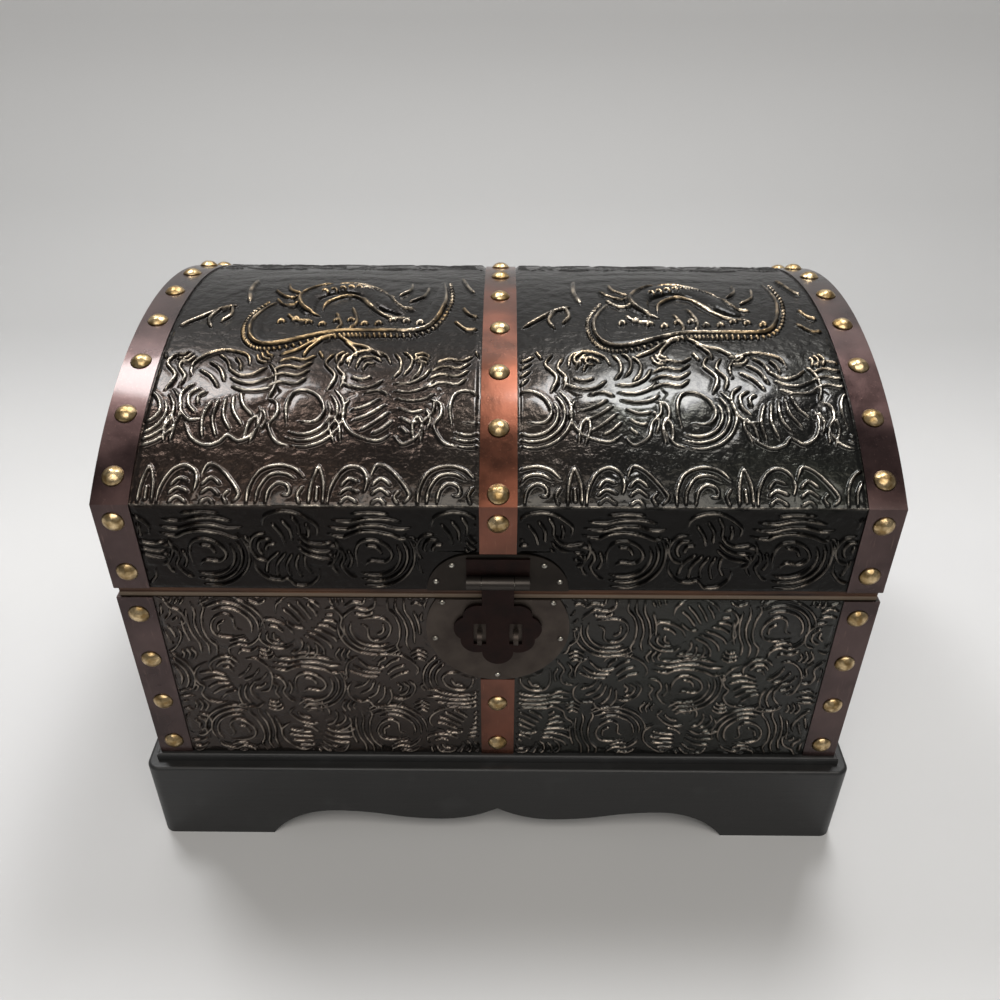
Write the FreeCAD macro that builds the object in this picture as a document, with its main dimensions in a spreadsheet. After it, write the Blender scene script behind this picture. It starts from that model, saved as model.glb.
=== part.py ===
import FreeCAD, Part
import math
import os
import Sketcher

# A small dome top trunk: a wooden box and lid covered with embossed metal sheet, bound with nailed
# copper straps, on a black plinth with bracket feet. The front faces -Y and the origin lies on the
# floor under the middle of the trunk. Lengths are in millimetres.

doc = FreeCAD.newDocument("DomeTopTrunk")

DRIVING_SIZES = (
    ("trunk_width", 380.0, "box and lid over the embossed sheets"),
    ("trunk_depth", 274.0, "box and lid over the embossed sheets"),
    ("box_height", 118.0, "base board to rim"),
    ("skirt_height", 53.0, "upright part of the lid, rim to crease"),
    ("dome_rise", 45.0, "crease to crown"),
    ("wall", 10.0, "box boards, lid rails and lid ends"),
    ("dome_board", 5.0, "bent board under the dome"),
    ("sheet", 0.8, "embossed metal sheet"),
    ("seam_gap", 0.3, "closed lid above the rim of the box"),
    ("box_reveal", 3.0, "bare wood between the box's sheets and its rim"),
    ("lid_reveal", 2.7, "bare wood between the lid's sheets and its rim"),
    ("base_board", 5.0, "thickness of the floor board"),
    ("base_overhang", 3.0, "floor board past the sheets"),
    ("base_round", 1.5, "rounded upper edge of the floor board"),
    ("plinth_height", 57.0, "floor to the top of the plinth"),
    ("plinth_overhang", 9.0, "plinth past the sheets"),
    ("plinth_board", 14.0, "thickness of the aprons"),
    ("plinth_corner", 7.0, "rounded upright corner of the plinth"),
    ("plinth_round", 2.0, "rounded upper edge of the plinth"),
    ("front_foot", 66.0, "flat length of a foot along the front"),
    ("side_foot", 56.0, "flat length of a foot along the side"),
    ("ogee_run", 38.0, "foot to the crest of the scallop"),
    ("crest_height", 21.0, "scallop beside the foot"),
    ("trough_height", 14.0, "lowest part of the scallop between the feet"),
    ("cusp_height", 24.0, "point of the scallop at its middle"),
    ("front_trough", 33.0, "middle to trough along the front"),
    ("side_trough", 18.0, "middle to trough along the side"),
    ("block_side", 16.0, "corner block inside the plinth"),
    ("block_lift", 8.0, "corner block above the floor"),
    ("strap_width", 18.0, "copper straps"),
    ("strap_thick", 0.8, "copper straps"),
    ("trim_gap", 0.3, "between a strap's end and the plate that it meets"),
    ("nail_head", 11.0, "diameter of a domed nail"),
    ("nail_rise", 3.2, "height of a nail's dome"),
    ("nail_shank", 1.8, "diameter of a nail's shank"),
    ("nail_length", 6.0, "shank below the head"),
    ("fastener_gap", 0.15, "hole around a shank, on the radius"),
    ("box_nail_start", 9.5, "base board to the lowest nail"),
    ("box_nail_top", 11.0, "top of the box's sheets to the highest nail"),
    ("plate_nail_drop", 18.0, "strap's end below the round plate to the nail under it"),
    ("skirt_nail_start", 13.2, "lid rim to the lower nail"),
    ("skirt_nail_top", 9.3, "crease to the upper nail"),
    ("crown_nail_margin", 6.0, "crease to the first nail of the middle strap"),
    ("edge_nail_margin", 14.0, "crease to the first nail of an edge strap"),
    ("edge_nail_pitch", 34.3, "along an edge strap, over the dome"),
    ("end_nail_margin", 40.0, "crease to the first nail under the arch of an end"),
    ("plate_thick", 1.0, "latch plates"),
    ("lower_plate_radius", 36.5, "round plate on the box"),
    ("lower_plate_drop", 22.2, "seam to the middle of the round plate"),
    ("upper_plate_half", 35.0, "half width of the plate on the lid"),
    ("upper_plate_top", 25.5, "seam to the top of the plate on the lid"),
    ("brad_head", 3.2, "diameter of a brad"),
    ("brad_rise", 1.1, "height of a brad's head"),
    ("brad_shank", 1.2, "diameter of a brad's shank"),
    ("brad_length", 5.0, "shank below the head"),
    ("brad_inset", 3.6, "plate's edge to its brads"),
    ("latch_height", 10.3, "seam to the latch pin"),
    ("latch_barrel", 3.2, "radius of the latch knuckles"),
    ("latch_pin", 1.4, "radius of the latch pin"),
    ("latch_width", 31.0, "across the latch knuckles"),
    ("latch_leaf_top", 13.3, "latch pin to the top of the leaf"),
    ("leaf_thick", 1.2, "latch and hinge leaves"),
    ("pin_gap", 0.05, "running clearance round a pin, on the radius"),
    ("knuckle_gap", 0.3, "between neighbouring knuckles and round a moving barrel"),
    ("hasp_thick", 1.6, "hasp plate"),
    ("hasp_stand_off", 0.4, "hasp in front of the round plate"),
    ("hasp_neck", 16.0, "width of the hasp's neck"),
    ("shoulder_drop", 15.8, "latch pin to the shoulder of the cloud"),
    ("upper_lobe_reach", 17.5, "middle to the end of the upper lobe"),
    ("upper_lobe_drop", 23.5, "latch pin to the end of the upper lobe"),
    ("upper_lobe_radius", 7.5, "upper lobe"),
    ("side_lobe_reach", 19.0, "middle to the end of the side lobe"),
    ("side_lobe_drop", 38.0, "latch pin to the end of the side lobe"),
    ("side_lobe_radius", 8.5, "side lobe"),
    ("lower_lobe_reach", 8.0, "middle to the end of the lower lobe"),
    ("lower_lobe_drop", 47.0, "latch pin to the end of the lower lobe"),
    ("lower_lobe_radius", 8.5, "lower lobe"),
    ("hasp_length", 55.6, "latch pin to the tip of the hasp"),
    ("tip_radius", 8.3, "lobe at the tip"),
    ("slot_width", 6.5, "slots of the hasp"),
    ("slot_height", 14.0, "slots of the hasp"),
    ("eye_spacing", 18.4, "between the padlock eyes"),
    ("eye_drop", 34.6, "latch pin to the padlock eyes"),
    ("eye_thick", 2.4, "padlock eyes"),
    ("eye_bore", 2.2, "radius of the hole in an eye"),
    ("eye_outer", 3.9, "radius of an eye"),
    ("eye_gap", 0.3, "hole of an eye in front of the hasp"),
    ("tang_height", 3.0, "tang of an eye"),
    ("tang_depth", 6.0, "tang of an eye in the front board"),
    ("hinge_spacing", 190.0, "between the back hinges"),
    ("hinge_width", 40.0, "along the hinge pin"),
    ("hinge_leaf", 24.0, "hinge pin to the edge of a leaf"),
    ("hinge_barrel", 3.0, "radius of the hinge knuckles"),
    ("hinge_pin", 1.25, "radius of the hinge pin"),
    ("hinge_knuckle", 14.0, "length of the lid leaf's knuckle"),
    ("hinge_head", 1.0, "thickness of a hinge pin's head"),
    ("lug_length", 2.0, "stop lugs between the knuckles"),
    ("lug_angle", 90.0, "degrees that a stop lug spans"),
    ("lid_travel", 105.0, "degrees that the lid opens"),
    ("stop_gap", 1.0, "degrees between stop faces at the ends of the travel"),
    ("screw_head", 2.4, "radius of a hinge screw's head"),
    ("screw_rise", 0.7, "height of a hinge screw's head"),
    ("screw_shank", 1.1, "radius of a hinge screw's shank"),
    ("screw_length", 7.0, "shank below the head"),
    ("screw_row", 16.0, "hinge pin to the row of screws"),
    ("screw_pitch", 13.0, "along the row of screws"),
    ("emboss_rise", 1.0, "pressed motifs above the face of their sheet"),
    ("emboss_fall", 0.8, "crown of a motif down to its rim"),
    ("motif_gap", 2.0, "between rows of motifs, and round straps, plates and hinges"),
    ("motif_start", 20.5, "middle of the trunk to the first motif of a row"),
    ("motif_pitch", 40.0, "between the motifs of a row"),
    ("crease_motif_height", 20.0, "motifs along the creases, up the dome"),
    ("flower_margin", 36.0, "crease to the row of large flowers on the dome"),
    ("flower_height", 54.0, "large flowers, up the dome"),
    ("dragon_half", 51.0, "middle of a dragon to the side of its lower coil"),
    ("press_depth", 8.0, "reach of the motifs' outlines to each side of the dome"),
)

sheet = doc.addObject("Spreadsheet::Sheet", "Sizes")
for row, (alias, value, meaning) in enumerate(DRIVING_SIZES, start=1):
    sheet.set(f"A{row}", meaning)
    sheet.set(f"B{row}", str(value))
    sheet.setAlias(f"B{row}", alias)
doc.recompute()


class Size:
    """A number together with the sheet expression that it follows."""

    def __init__(self, value, text):
        self.value = value
        self.text = text

    def __add__(self, other):
        other = as_size(other)
        return Size(self.value + other.value, f"({self.text} + {other.text})")

    def __sub__(self, other):
        other = as_size(other)
        return Size(self.value - other.value, f"({self.text} - {other.text})")

    def __mul__(self, other):
        other = as_size(other)
        return Size(self.value * other.value, f"({self.text} * {other.text})")

    def __truediv__(self, other):
        other = as_size(other)
        return Size(self.value / other.value, f"({self.text} / {other.text})")

    def __rsub__(self, other):
        return as_size(other) - self

    def __neg__(self):
        return Size(-self.value, f"(-{self.text})")

    __radd__ = __add__
    __rmul__ = __mul__


def as_size(thing):
    if isinstance(thing, Size):
        return thing
    return Size(float(thing), f"({float(thing)!r})")


def root(size):
    return Size(math.sqrt(size.value), f"sqrt({size.text})")


def size_of(alias):
    return Size(float(sheet.get(alias)), f"Sizes.{alias}")


def bind(item, prop, size):
    item.setExpression(prop, as_size(size).text)


def place(item, x=0.0, y=0.0, z=0.0):
    bind(item, "Placement.Base.x", x)
    bind(item, "Placement.Base.y", y)
    bind(item, "Placement.Base.z", z)


def block(label, low, high):
    """Board or plate with square edges, between two opposite corners."""
    item = doc.addObject("Part::Box", label)
    for prop, first, last in zip(("Length", "Width", "Height"), low, high):
        bind(item, prop, last - first)
    place(item, *low)
    return item


def rod(label, radius, length, x, y, z, turn=None):
    """Round bar along X, from x to x + length; turn keeps a sector of (start, span) degrees."""
    item = doc.addObject("Part::Cylinder", label)
    bind(item, "Radius", radius)
    bind(item, "Height", length)
    start = 0.0
    if turn:
        bind(item, "Angle", turn[1])
        start = as_size(turn[0]).value
    along_x = FreeCAD.Rotation(FreeCAD.Vector(0, 1, 0), 90)
    about_bar = FreeCAD.Rotation(FreeCAD.Vector(1, 0, 0), start)
    item.Placement.Rotation = about_bar * along_x
    place(item, x, y, z)
    return item


def fuse(label, *items):
    item = doc.addObject("Part::MultiFuse", label)
    item.Shapes = list(items)
    return item


def cut(label, base, *tools):
    for left, tool in zip(reversed(range(len(tools))), tools):
        item = doc.addObject("Part::Cut", f"{label}_less_{left}" if left else label)
        item.Base = base
        item.Tool = tool
        base = item
    return item


def shared(label, base, tool):
    item = doc.addObject("Part::Common", label)
    item.Base = base
    item.Tool = tool
    return item


def group(label, *items):
    item = doc.addObject("Part::Compound", label)
    item.Links = list(items)
    return item


def vector(point):
    return FreeCAD.Vector(as_size(point[0]).value, as_size(point[1]).value, 0)


def sketch_on(body, role, name):
    sketch = body.newObject("Sketcher::SketchObject", name)
    plane = [item for item in body.Origin.OriginFeatures if item.Role == role][0]
    sketch.AttachmentSupport = [(plane, "")]
    sketch.MapMode = "FlatFace"
    return sketch


def fix(sketch, kind, *where, size):
    size = as_size(size)
    number = sketch.addConstraint(Sketcher.Constraint(kind, *where, size.value))
    sketch.setExpression(f"Constraints[{number}]", size.text)


def swells_left(corner):
    return len(corner) > 2 and as_size(corner[2]).value > 0


def draw_loop(sketch, corners):
    """Closed outline. A corner is (across, up), or (across, up, radius) where the edge that leaves it
    is an arc of that radius that swells to the left of its way; a negative radius swells to the right.
    Sketch arcs run anticlockwise, so an arc that swells to the left is drawn from its far end."""
    first = sketch.GeometryCount
    following = corners[1:] + corners[:1]
    for corner, after in zip(corners, following):
        start = vector(corner)
        end = vector(after)
        if len(corner) == 2:
            sketch.addGeometry(Part.LineSegment(start, end))
            continue
        radius = as_size(corner[2]).value
        chord = end - start
        left = FreeCAD.Vector(-chord.y, chord.x, 0).normalize()
        swell = abs(radius) - math.sqrt(radius ** 2 - chord.Length ** 2 / 4)
        middle = (start + end) * 0.5 + left * math.copysign(swell, radius)
        if swells_left(corner):
            start, end = end, start
        sketch.addGeometry(Part.Arc(start, middle, end))
    for index, (corner, after) in enumerate(zip(corners, following)):
        edge = first + index
        next_edge = first + (index + 1) % len(corners)
        leaves, reaches = (2, 1) if swells_left(corner) else (1, 2)
        next_leaves = 2 if swells_left(after) else 1
        sketch.addConstraint(Sketcher.Constraint("Coincident", edge, reaches, next_edge, next_leaves))
        fix(sketch, "DistanceX", -1, 1, edge, leaves, size=corner[0])
        fix(sketch, "DistanceY", -1, 1, edge, leaves, size=corner[1])
        if len(corner) > 2:
            radius = as_size(corner[2])
            fix(sketch, "Radius", edge, size=radius if radius.value > 0 else -radius)


def draw_circle(sketch, across, up, radius):
    circle = Part.Circle(vector((across, up)), FreeCAD.Vector(0, 0, 1), as_size(radius).value)
    number = sketch.addGeometry(circle)
    fix(sketch, "DistanceX", -1, 1, number, 3, size=across)
    fix(sketch, "DistanceY", -1, 1, number, 3, size=up)
    fix(sketch, "Radius", number, size=radius)


def rectangle(low, high):
    return [(low[0], low[1]), (high[0], low[1]), (high[0], high[1]), (low[0], high[1])]


def profile(label, role, loops, length, circles=(), at=(0.0, 0.0, 0.0)):
    """Board or plate of one outline, with any holes, given its thickness along the plane's normal."""
    body = doc.addObject("PartDesign::Body", label)
    sketch = sketch_on(body, role, f"{label}_outline")
    for loop in loops:
        draw_loop(sketch, loop)
    for circle in circles:
        draw_circle(sketch, *circle)
    pad = body.newObject("PartDesign::Pad", f"{label}_thickness")
    pad.Profile = sketch
    bind(pad, "Length", length)
    place(body, *at)
    return body


def round_edges(body, label, radius, wanted):
    """Round the edges of a body whose middle points are wanted."""
    doc.recompute()
    base = body.Tip
    names = [
        f"Edge{number}"
        for number, edge in enumerate(base.Shape.Edges, start=1)
        if wanted(edge.valueAt((edge.FirstParameter + edge.LastParameter) / 2))
    ]
    fillet = body.newObject("PartDesign::Fillet", f"{label}_rounding")
    fillet.Base = (base, names)
    bind(fillet, "Radius", radius)
    return body


def near(first, second):
    return abs(first - second.value) < 1e-4


sizes = {alias: size_of(alias) for alias, value, meaning in DRIVING_SIZES}

half_width = sizes["trunk_width"] / 2
half_depth = sizes["trunk_depth"] / 2
wood_x = half_width - sizes["sheet"]
wood_y = half_depth - sizes["sheet"]
inside_x = wood_x - sizes["wall"]
inside_y = wood_y - sizes["wall"]
strap_x = half_width + sizes["strap_thick"]
strap_y = half_depth + sizes["strap_thick"]
half_strap = sizes["strap_width"] / 2

floor_z = sizes["plinth_height"] + sizes["base_board"]
rim_z = floor_z + sizes["box_height"]
lid_z = rim_z + sizes["seam_gap"]
crease_z = lid_z + sizes["skirt_height"]
box_sheet_top = rim_z - sizes["box_reveal"]
lid_sheet_low = lid_z + sizes["lid_reveal"]

# The dome is a circular arc through both creases and the crown, measured on the outside of the sheet.
dome_radius = (sizes["dome_rise"] * sizes["dome_rise"] + half_depth * half_depth) / (2 * sizes["dome_rise"])
dome_centre = crease_z + sizes["dome_rise"] - dome_radius


def dome_height(offset, across):
    """Height of the dome, offset outwards from the sheet, at a distance from the middle."""
    radius = dome_radius + offset
    return dome_centre + root(radius * radius - across * across)


def arch(offset, low):
    """End view of the lid, offset outwards from the sheets, from the height low up."""
    across = half_depth + offset
    crease = dome_height(offset, across)
    return [(-across, low), (-across, crease, dome_radius + offset), (across, crease), (across, low)]


def folded(inner, outer, front_low, back_low):
    """End view of a sheet or strap folded over the lid, between two offsets from the sheets."""
    outside = half_depth + outer
    inside = half_depth + inner
    outside_crease = dome_height(outer, outside)
    inside_crease = dome_height(inner, inside)
    return [
        (-outside, front_low),
        (-outside, outside_crease, dome_radius + outer),
        (outside, outside_crease),
        (outside, back_low),
        (inside, back_low),
        (inside, inside_crease, -(dome_radius + inner)),
        (-inside, inside_crease),
        (-inside, front_low),
    ]


# The plinth: four mitred aprons with bracket feet, and glued blocks in the corners.

def apron(label, half_length, half_out, foot, trough, turn):
    """Front apron in its own frame, turned about the upright axis to its side of the plinth."""
    corner = sizes["plinth_corner"]
    at_mitre = corner * (1 - math.sqrt(0.5))
    board = sizes["plinth_board"]
    plan = [
        (corner - half_length, -half_out),
        (half_length - corner, -half_out, -corner),
        (half_length - at_mitre, at_mitre - half_out),
        (half_length - board, board - half_out),
        (board - half_length, board - half_out),
        (at_mitre - half_length, at_mitre - half_out, -corner),
    ]
    body = profile(label, "XY_Plane", [plan], sizes["plinth_height"])

    foot_x = half_length - foot
    crest_x = foot_x - sizes["ogee_run"]
    crest_z = sizes["crest_height"]
    trough_z = sizes["trough_height"]
    cusp_z = sizes["cusp_height"]
    run = sizes["ogee_run"]
    ogee = (run * run + crest_z * crest_z) / (2 * crest_z)
    slope_run = crest_x - trough
    slope_drop = crest_z - trough_z
    slope = (slope_run * slope_run + slope_drop * slope_drop) / (4 * slope_drop)
    cusp_drop = cusp_z - trough_z
    cusp = (trough * trough + cusp_drop * cusp_drop) / (2 * cusp_drop)
    middle_x = (crest_x + trough) / 2
    middle_z = (crest_z + trough_z) / 2
    below = -sizes["plinth_round"]
    scallop = [
        (-foot_x, below),
        (foot_x, below),
        (foot_x, 0.0, -ogee),
        (crest_x, crest_z, -slope),
        (middle_x, middle_z, slope),
        (trough, trough_z, cusp),
        (0.0, cusp_z, cusp),
        (-trough, trough_z, slope),
        (-middle_x, middle_z, -slope),
        (-crest_x, crest_z, -ogee),
        (-foot_x, 0.0),
    ]
    sketch = sketch_on(body, "XZ_Plane", f"{label}_scallop")
    draw_loop(sketch, scallop)
    pocket = body.newObject("PartDesign::Pocket", f"{label}_cut")
    pocket.Profile = sketch
    pocket.Type = "ThroughAll"
    pocket.SideType = "Symmetric"

    def upper_outer(point):
        inner = board.value / 2 - half_out.value
        ends = half_length.value - board.value / 2
        return near(point.z, sizes["plinth_height"]) and point.y < inner and abs(point.x) < ends

    round_edges(body, label, sizes["plinth_round"], upper_outer)
    body.Placement.Rotation = FreeCAD.Rotation(FreeCAD.Vector(0, 0, 1), turn)
    return body


plinth_x = half_width + sizes["plinth_overhang"]
plinth_y = half_depth + sizes["plinth_overhang"]
plinth_front = apron("plinth_front_apron", plinth_x, plinth_y, sizes["front_foot"], sizes["front_trough"], 0)
plinth_right = apron("plinth_right_apron", plinth_y, plinth_x, sizes["side_foot"], sizes["side_trough"], 90)
plinth_back = apron("plinth_back_apron", plinth_x, plinth_y, sizes["front_foot"], sizes["front_trough"], 180)
plinth_left = apron("plinth_left_apron", plinth_y, plinth_x, sizes["side_foot"], sizes["side_trough"], 270)

block_x = plinth_x - sizes["plinth_board"]
block_y = plinth_y - sizes["plinth_board"]
corner_blocks = []
for name, low_x, low_y in (
    ("front_left", -block_x, -block_y),
    ("front_right", block_x - sizes["block_side"], -block_y),
    ("back_left", -block_x, block_y - sizes["block_side"]),
    ("back_right", block_x - sizes["block_side"], block_y - sizes["block_side"]),
):
    low = (low_x, low_y, sizes["block_lift"])
    high = (low_x + sizes["block_side"], low_y + sizes["block_side"], sizes["plinth_height"])
    corner_blocks.append(block(f"{name}_block", low, high))
plinth_blocks = group("plinth_corner_blocks", *corner_blocks)

# The base board is the floor of the box and shows as a step above the plinth.
base_x = half_width + sizes["base_overhang"]
base_y = half_depth + sizes["base_overhang"]
base_plan = rectangle((-base_x, -base_y), (base_x, base_y))
base_seat = (0.0, 0.0, sizes["plinth_height"])
base = profile("base_board", "XY_Plane", [base_plan], sizes["base_board"], at=base_seat)
round_edges(base, "base_board", sizes["base_round"], lambda point: near(point.z, sizes["base_board"]))

# The box: two long boards with the end boards between them.
front_board = block("box_front_board", (-wood_x, -wood_y, floor_z), (wood_x, -inside_y, rim_z))
back_board = block("box_back_board", (-wood_x, inside_y, floor_z), (wood_x, wood_y, rim_z))
left_board = block("box_left_board", (-wood_x, -inside_y, floor_z), (-inside_x, inside_y, rim_z))
right_board = block("box_right_board", (inside_x, -inside_y, floor_z), (wood_x, inside_y, rim_z))

# The lid's wooden shell: rails shaped to the dome, arched ends between them, and a bent board on top.
board_offset = -(sizes["sheet"] + sizes["dome_board"])
under_dome = dome_radius + board_offset


def rail(label, side):
    """Lid rail whose upper edge follows the underside of the dome board."""
    outer_top = dome_height(board_offset, wood_y)
    inner_top = dome_height(board_offset, inside_y)
    outline = [
        (side * wood_y, lid_z),
        (side * wood_y, outer_top, -side * under_dome),
        (side * inside_y, inner_top),
        (side * inside_y, lid_z),
    ]
    return profile(label, "YZ_Plane", [outline], 2 * wood_x, at=(-wood_x, 0.0, 0.0))


lid_front_rail = rail("lid_front_rail", -1)
lid_back_rail = rail("lid_back_rail", 1)
end_top = dome_height(board_offset, inside_y)
end_outline = [(-inside_y, lid_z), (-inside_y, end_top, under_dome), (inside_y, end_top), (inside_y, lid_z)]
lid_left_end = profile("lid_left_end", "YZ_Plane", [end_outline], sizes["wall"], at=(-wood_x, 0.0, 0.0))
lid_right_end = profile("lid_right_end", "YZ_Plane", [end_outline], sizes["wall"], at=(inside_x, 0.0, 0.0))

board_high = dome_height(-sizes["sheet"], wood_y)
board_low = dome_height(board_offset, wood_y)
bent_outline = [
    (-wood_y, board_low),
    (-wood_y, board_high, dome_radius - sizes["sheet"]),
    (wood_y, board_high),
    (wood_y, board_low, -under_dome),
]
lid_dome = profile("lid_dome_board", "YZ_Plane", [bent_outline], 2 * wood_x, at=(-wood_x, 0.0, 0.0))

# Places of the fasteners, each a point on the face under its head and the direction that it comes out.


def point(x, y, z):
    return FreeCAD.Vector(as_size(x).value, as_size(y).value, as_size(z).value)


def around_dome(x, radius, arc):
    """Point of the dome at a distance along the arc from the front crease, and the way out of it."""
    crease_angle = math.asin(half_depth.value / dome_radius.value)
    angle = arc / dome_radius.value - crease_angle
    outwards = FreeCAD.Vector(0, math.sin(angle), math.cos(angle))
    return point(x, 0.0, dome_centre) + outwards * radius.value, outwards


dome_arc = 2 * dome_radius.value * math.asin(half_depth.value / dome_radius.value)
ALONG_X = FreeCAD.Vector(1, 0, 0)
ALONG_Y = FreeCAD.Vector(0, 1, 0)
BOX_NAILS_UP = 4
CROWN_NAILS = 9
EDGE_NAILS = 8
END_NAILS = 7
edge_x = strap_x - half_strap
edge_y = strap_y - half_strap
plate_z = rim_z - sizes["lower_plate_drop"]

box_nail_low = floor_z + sizes["box_nail_start"]
box_nail_pitch = (box_sheet_top - sizes["box_nail_top"] - box_nail_low) / (BOX_NAILS_UP - 1)
box_nail_rows = [box_nail_low + step * box_nail_pitch for step in range(BOX_NAILS_UP)]
plate_foot = plate_z - sizes["lower_plate_radius"] - sizes["trim_gap"]
front_middle_rows = [box_nail_low, plate_foot - sizes["plate_nail_drop"]]
skirt_rows = [lid_z + sizes["skirt_nail_start"], crease_z - sizes["skirt_nail_top"]]


def strap_seats(rows, front_middle, back_middle):
    """Nails up the corner straps, on both legs, and up the middle straps."""
    seats = [(point(0.0, -strap_y, z), -ALONG_Y) for z in front_middle]
    seats += [(point(0.0, strap_y, z), ALONG_Y) for z in back_middle]
    for z in rows:
        for x_side in (-1, 1):
            for y_side in (-1, 1):
                seats.append((point(x_side * edge_x, y_side * strap_y, z), ALONG_Y * y_side))
                seats.append((point(x_side * strap_x, y_side * edge_y, z), ALONG_X * x_side))
    return seats


box_nail_seats = strap_seats(box_nail_rows, front_middle_rows, box_nail_rows)
lid_nail_seats = strap_seats(skirt_rows, skirt_rows[1:], skirt_rows)
strap_radius = dome_radius + sizes["strap_thick"]
crown_margin = sizes["crown_nail_margin"].value
for step in range(CROWN_NAILS):
    arc = crown_margin + step * (dome_arc - 2 * crown_margin) / (CROWN_NAILS - 1)
    lid_nail_seats.append(around_dome(0.0, strap_radius, arc))
for x_side in (-1, 1):
    for step in range(EDGE_NAILS):
        arc = sizes["edge_nail_margin"].value + step * sizes["edge_nail_pitch"].value
        lid_nail_seats.append(around_dome(x_side * edge_x, strap_radius, arc))
    for step in range(END_NAILS):
        margin = sizes["end_nail_margin"].value
        arc = margin + step * (dome_arc - 2 * margin) / (END_NAILS - 1)
        seat, outwards = around_dome(x_side * strap_x, strap_radius - half_strap, arc)
        lid_nail_seats.append((seat, ALONG_X * x_side))

plate_y = half_depth + sizes["plate_thick"]
brad_circle = sizes["lower_plate_radius"] - sizes["brad_inset"]
LOWER_BRAD_ANGLES = (32.0, 148.0, 192.0, 270.0, 348.0)
lower_brads = [
    (brad_circle * math.cos(math.radians(angle)), plate_z + brad_circle * math.sin(math.radians(angle)))
    for angle in LOWER_BRAD_ANGLES
]
upper_top = rim_z + sizes["upper_plate_top"]
upper_corner = upper_top - lid_sheet_low
upper_circle = upper_corner - sizes["brad_inset"]
UPPER_BRAD_ANGLES = (18.0, 58.0)
upper_brads = [
    (
        side * (sizes["upper_plate_half"] - upper_corner + upper_circle * math.cos(math.radians(angle))),
        lid_sheet_low + upper_circle * math.sin(math.radians(angle)),
    )
    for side in (-1, 1)
    for angle in UPPER_BRAD_ANGLES
]
lower_brad_seats = [(point(x, -plate_y, z), -ALONG_Y) for x, z in lower_brads]
upper_brad_seats = [(point(x, -plate_y, z), -ALONG_Y) for x, z in upper_brads]

hinge_y = half_depth + sizes["hinge_barrel"]
hinge_z = rim_z + sizes["seam_gap"] / 2
hinge_middles = (-sizes["hinge_spacing"] / 2, sizes["hinge_spacing"] / 2)
SCREW_STEPS = (-1, 0, 1)
screw_y = half_depth + sizes["leaf_thick"]
box_screws = [
    (middle + step * sizes["screw_pitch"], hinge_z - sizes["screw_row"])
    for middle in hinge_middles
    for step in SCREW_STEPS
]
lid_screws = [
    (middle + step * sizes["screw_pitch"], hinge_z + sizes["screw_row"])
    for middle in hinge_middles
    for step in SCREW_STEPS
]
box_screw_seats = [(point(x, screw_y, z), ALONG_Y) for x, z in box_screws]
lid_screw_seats = [(point(x, screw_y, z), ALONG_Y) for x, z in lid_screws]

latch_y = -(plate_y + sizes["latch_barrel"])
latch_z = rim_z + sizes["latch_height"]
hasp_back = -(plate_y + sizes["hasp_stand_off"])
hasp_front = hasp_back - sizes["hasp_thick"]
eye_z = latch_z - sizes["eye_drop"]
eye_y = hasp_front - sizes["eye_gap"] - sizes["eye_bore"]
tang_end = -wood_y + sizes["tang_depth"]
eye_middles = (-sizes["eye_spacing"] / 2, sizes["eye_spacing"] / 2)


def headed(label, head_radius, rise, shank_radius, length):
    """One nail, brad or screw: a domed head over a round shank, turned about the upright axis."""
    body = doc.addObject("PartDesign::Body", label)
    sketch = sketch_on(body, "XZ_Plane", f"{label}_outline")
    dome = (head_radius * head_radius + rise * rise) / (2 * rise)
    draw_loop(sketch, [
        (0.0, rise, dome),
        (head_radius, 0.0),
        (shank_radius, 0.0),
        (shank_radius, -length),
        (0.0, -length),
    ])
    turned = body.newObject("PartDesign::Revolution", f"{label}_turning")
    turned.Profile = sketch
    turned.ReferenceAxis = (sketch, ["V_Axis"])
    doc.recompute()
    return body


nail = headed(
    "one_nail", sizes["nail_head"] / 2, sizes["nail_rise"], sizes["nail_shank"] / 2, sizes["nail_length"])
brad = headed(
    "one_brad", sizes["brad_head"] / 2, sizes["brad_rise"], sizes["brad_shank"] / 2, sizes["brad_length"])
screw = headed(
    "one_screw", sizes["screw_head"], sizes["screw_rise"], sizes["screw_shank"], sizes["screw_length"])


def driven(label, pattern, seats):
    """Group of copies of one fastener, each standing on its seat."""
    copies = []
    for seat, outwards in seats:
        turn = FreeCAD.Rotation(FreeCAD.Vector(0, 0, 1), outwards)
        copies.append(pattern.Shape.transformed(FreeCAD.Placement(seat, turn).toMatrix(), True))
    item = doc.addObject("Part::Feature", label)
    item.Shape = Part.makeCompound(copies)
    item.Placement = FreeCAD.Placement()
    return item


box_nails = driven("box_strap_nails", nail, box_nail_seats)
lid_nails = driven("lid_strap_nails", nail, lid_nail_seats)
lower_plate_brads = driven("latch_lower_brads", brad, lower_brad_seats)
upper_plate_brads = driven("latch_upper_brads", brad, upper_brad_seats)
hinge_box_screws = driven("hinge_box_screws", screw, box_screw_seats)
hinge_lid_screws = driven("hinge_lid_screws", screw, lid_screw_seats)


def holes(label, *rows):
    """Punched holes for rows of fasteners, each row given as seats, shank radius and shank length."""
    gap = sizes["fastener_gap"].value
    punched = []
    for seats, radius, length in rows:
        for seat, outwards in seats:
            start = seat - outwards * length.value
            punched.append(Part.makeCylinder(radius.value + gap, 2 * length.value, start, outwards))
    item = doc.addObject("Part::Feature", label)
    item.Shape = Part.makeCompound(punched)
    item.Placement = FreeCAD.Placement()
    return item


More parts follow.
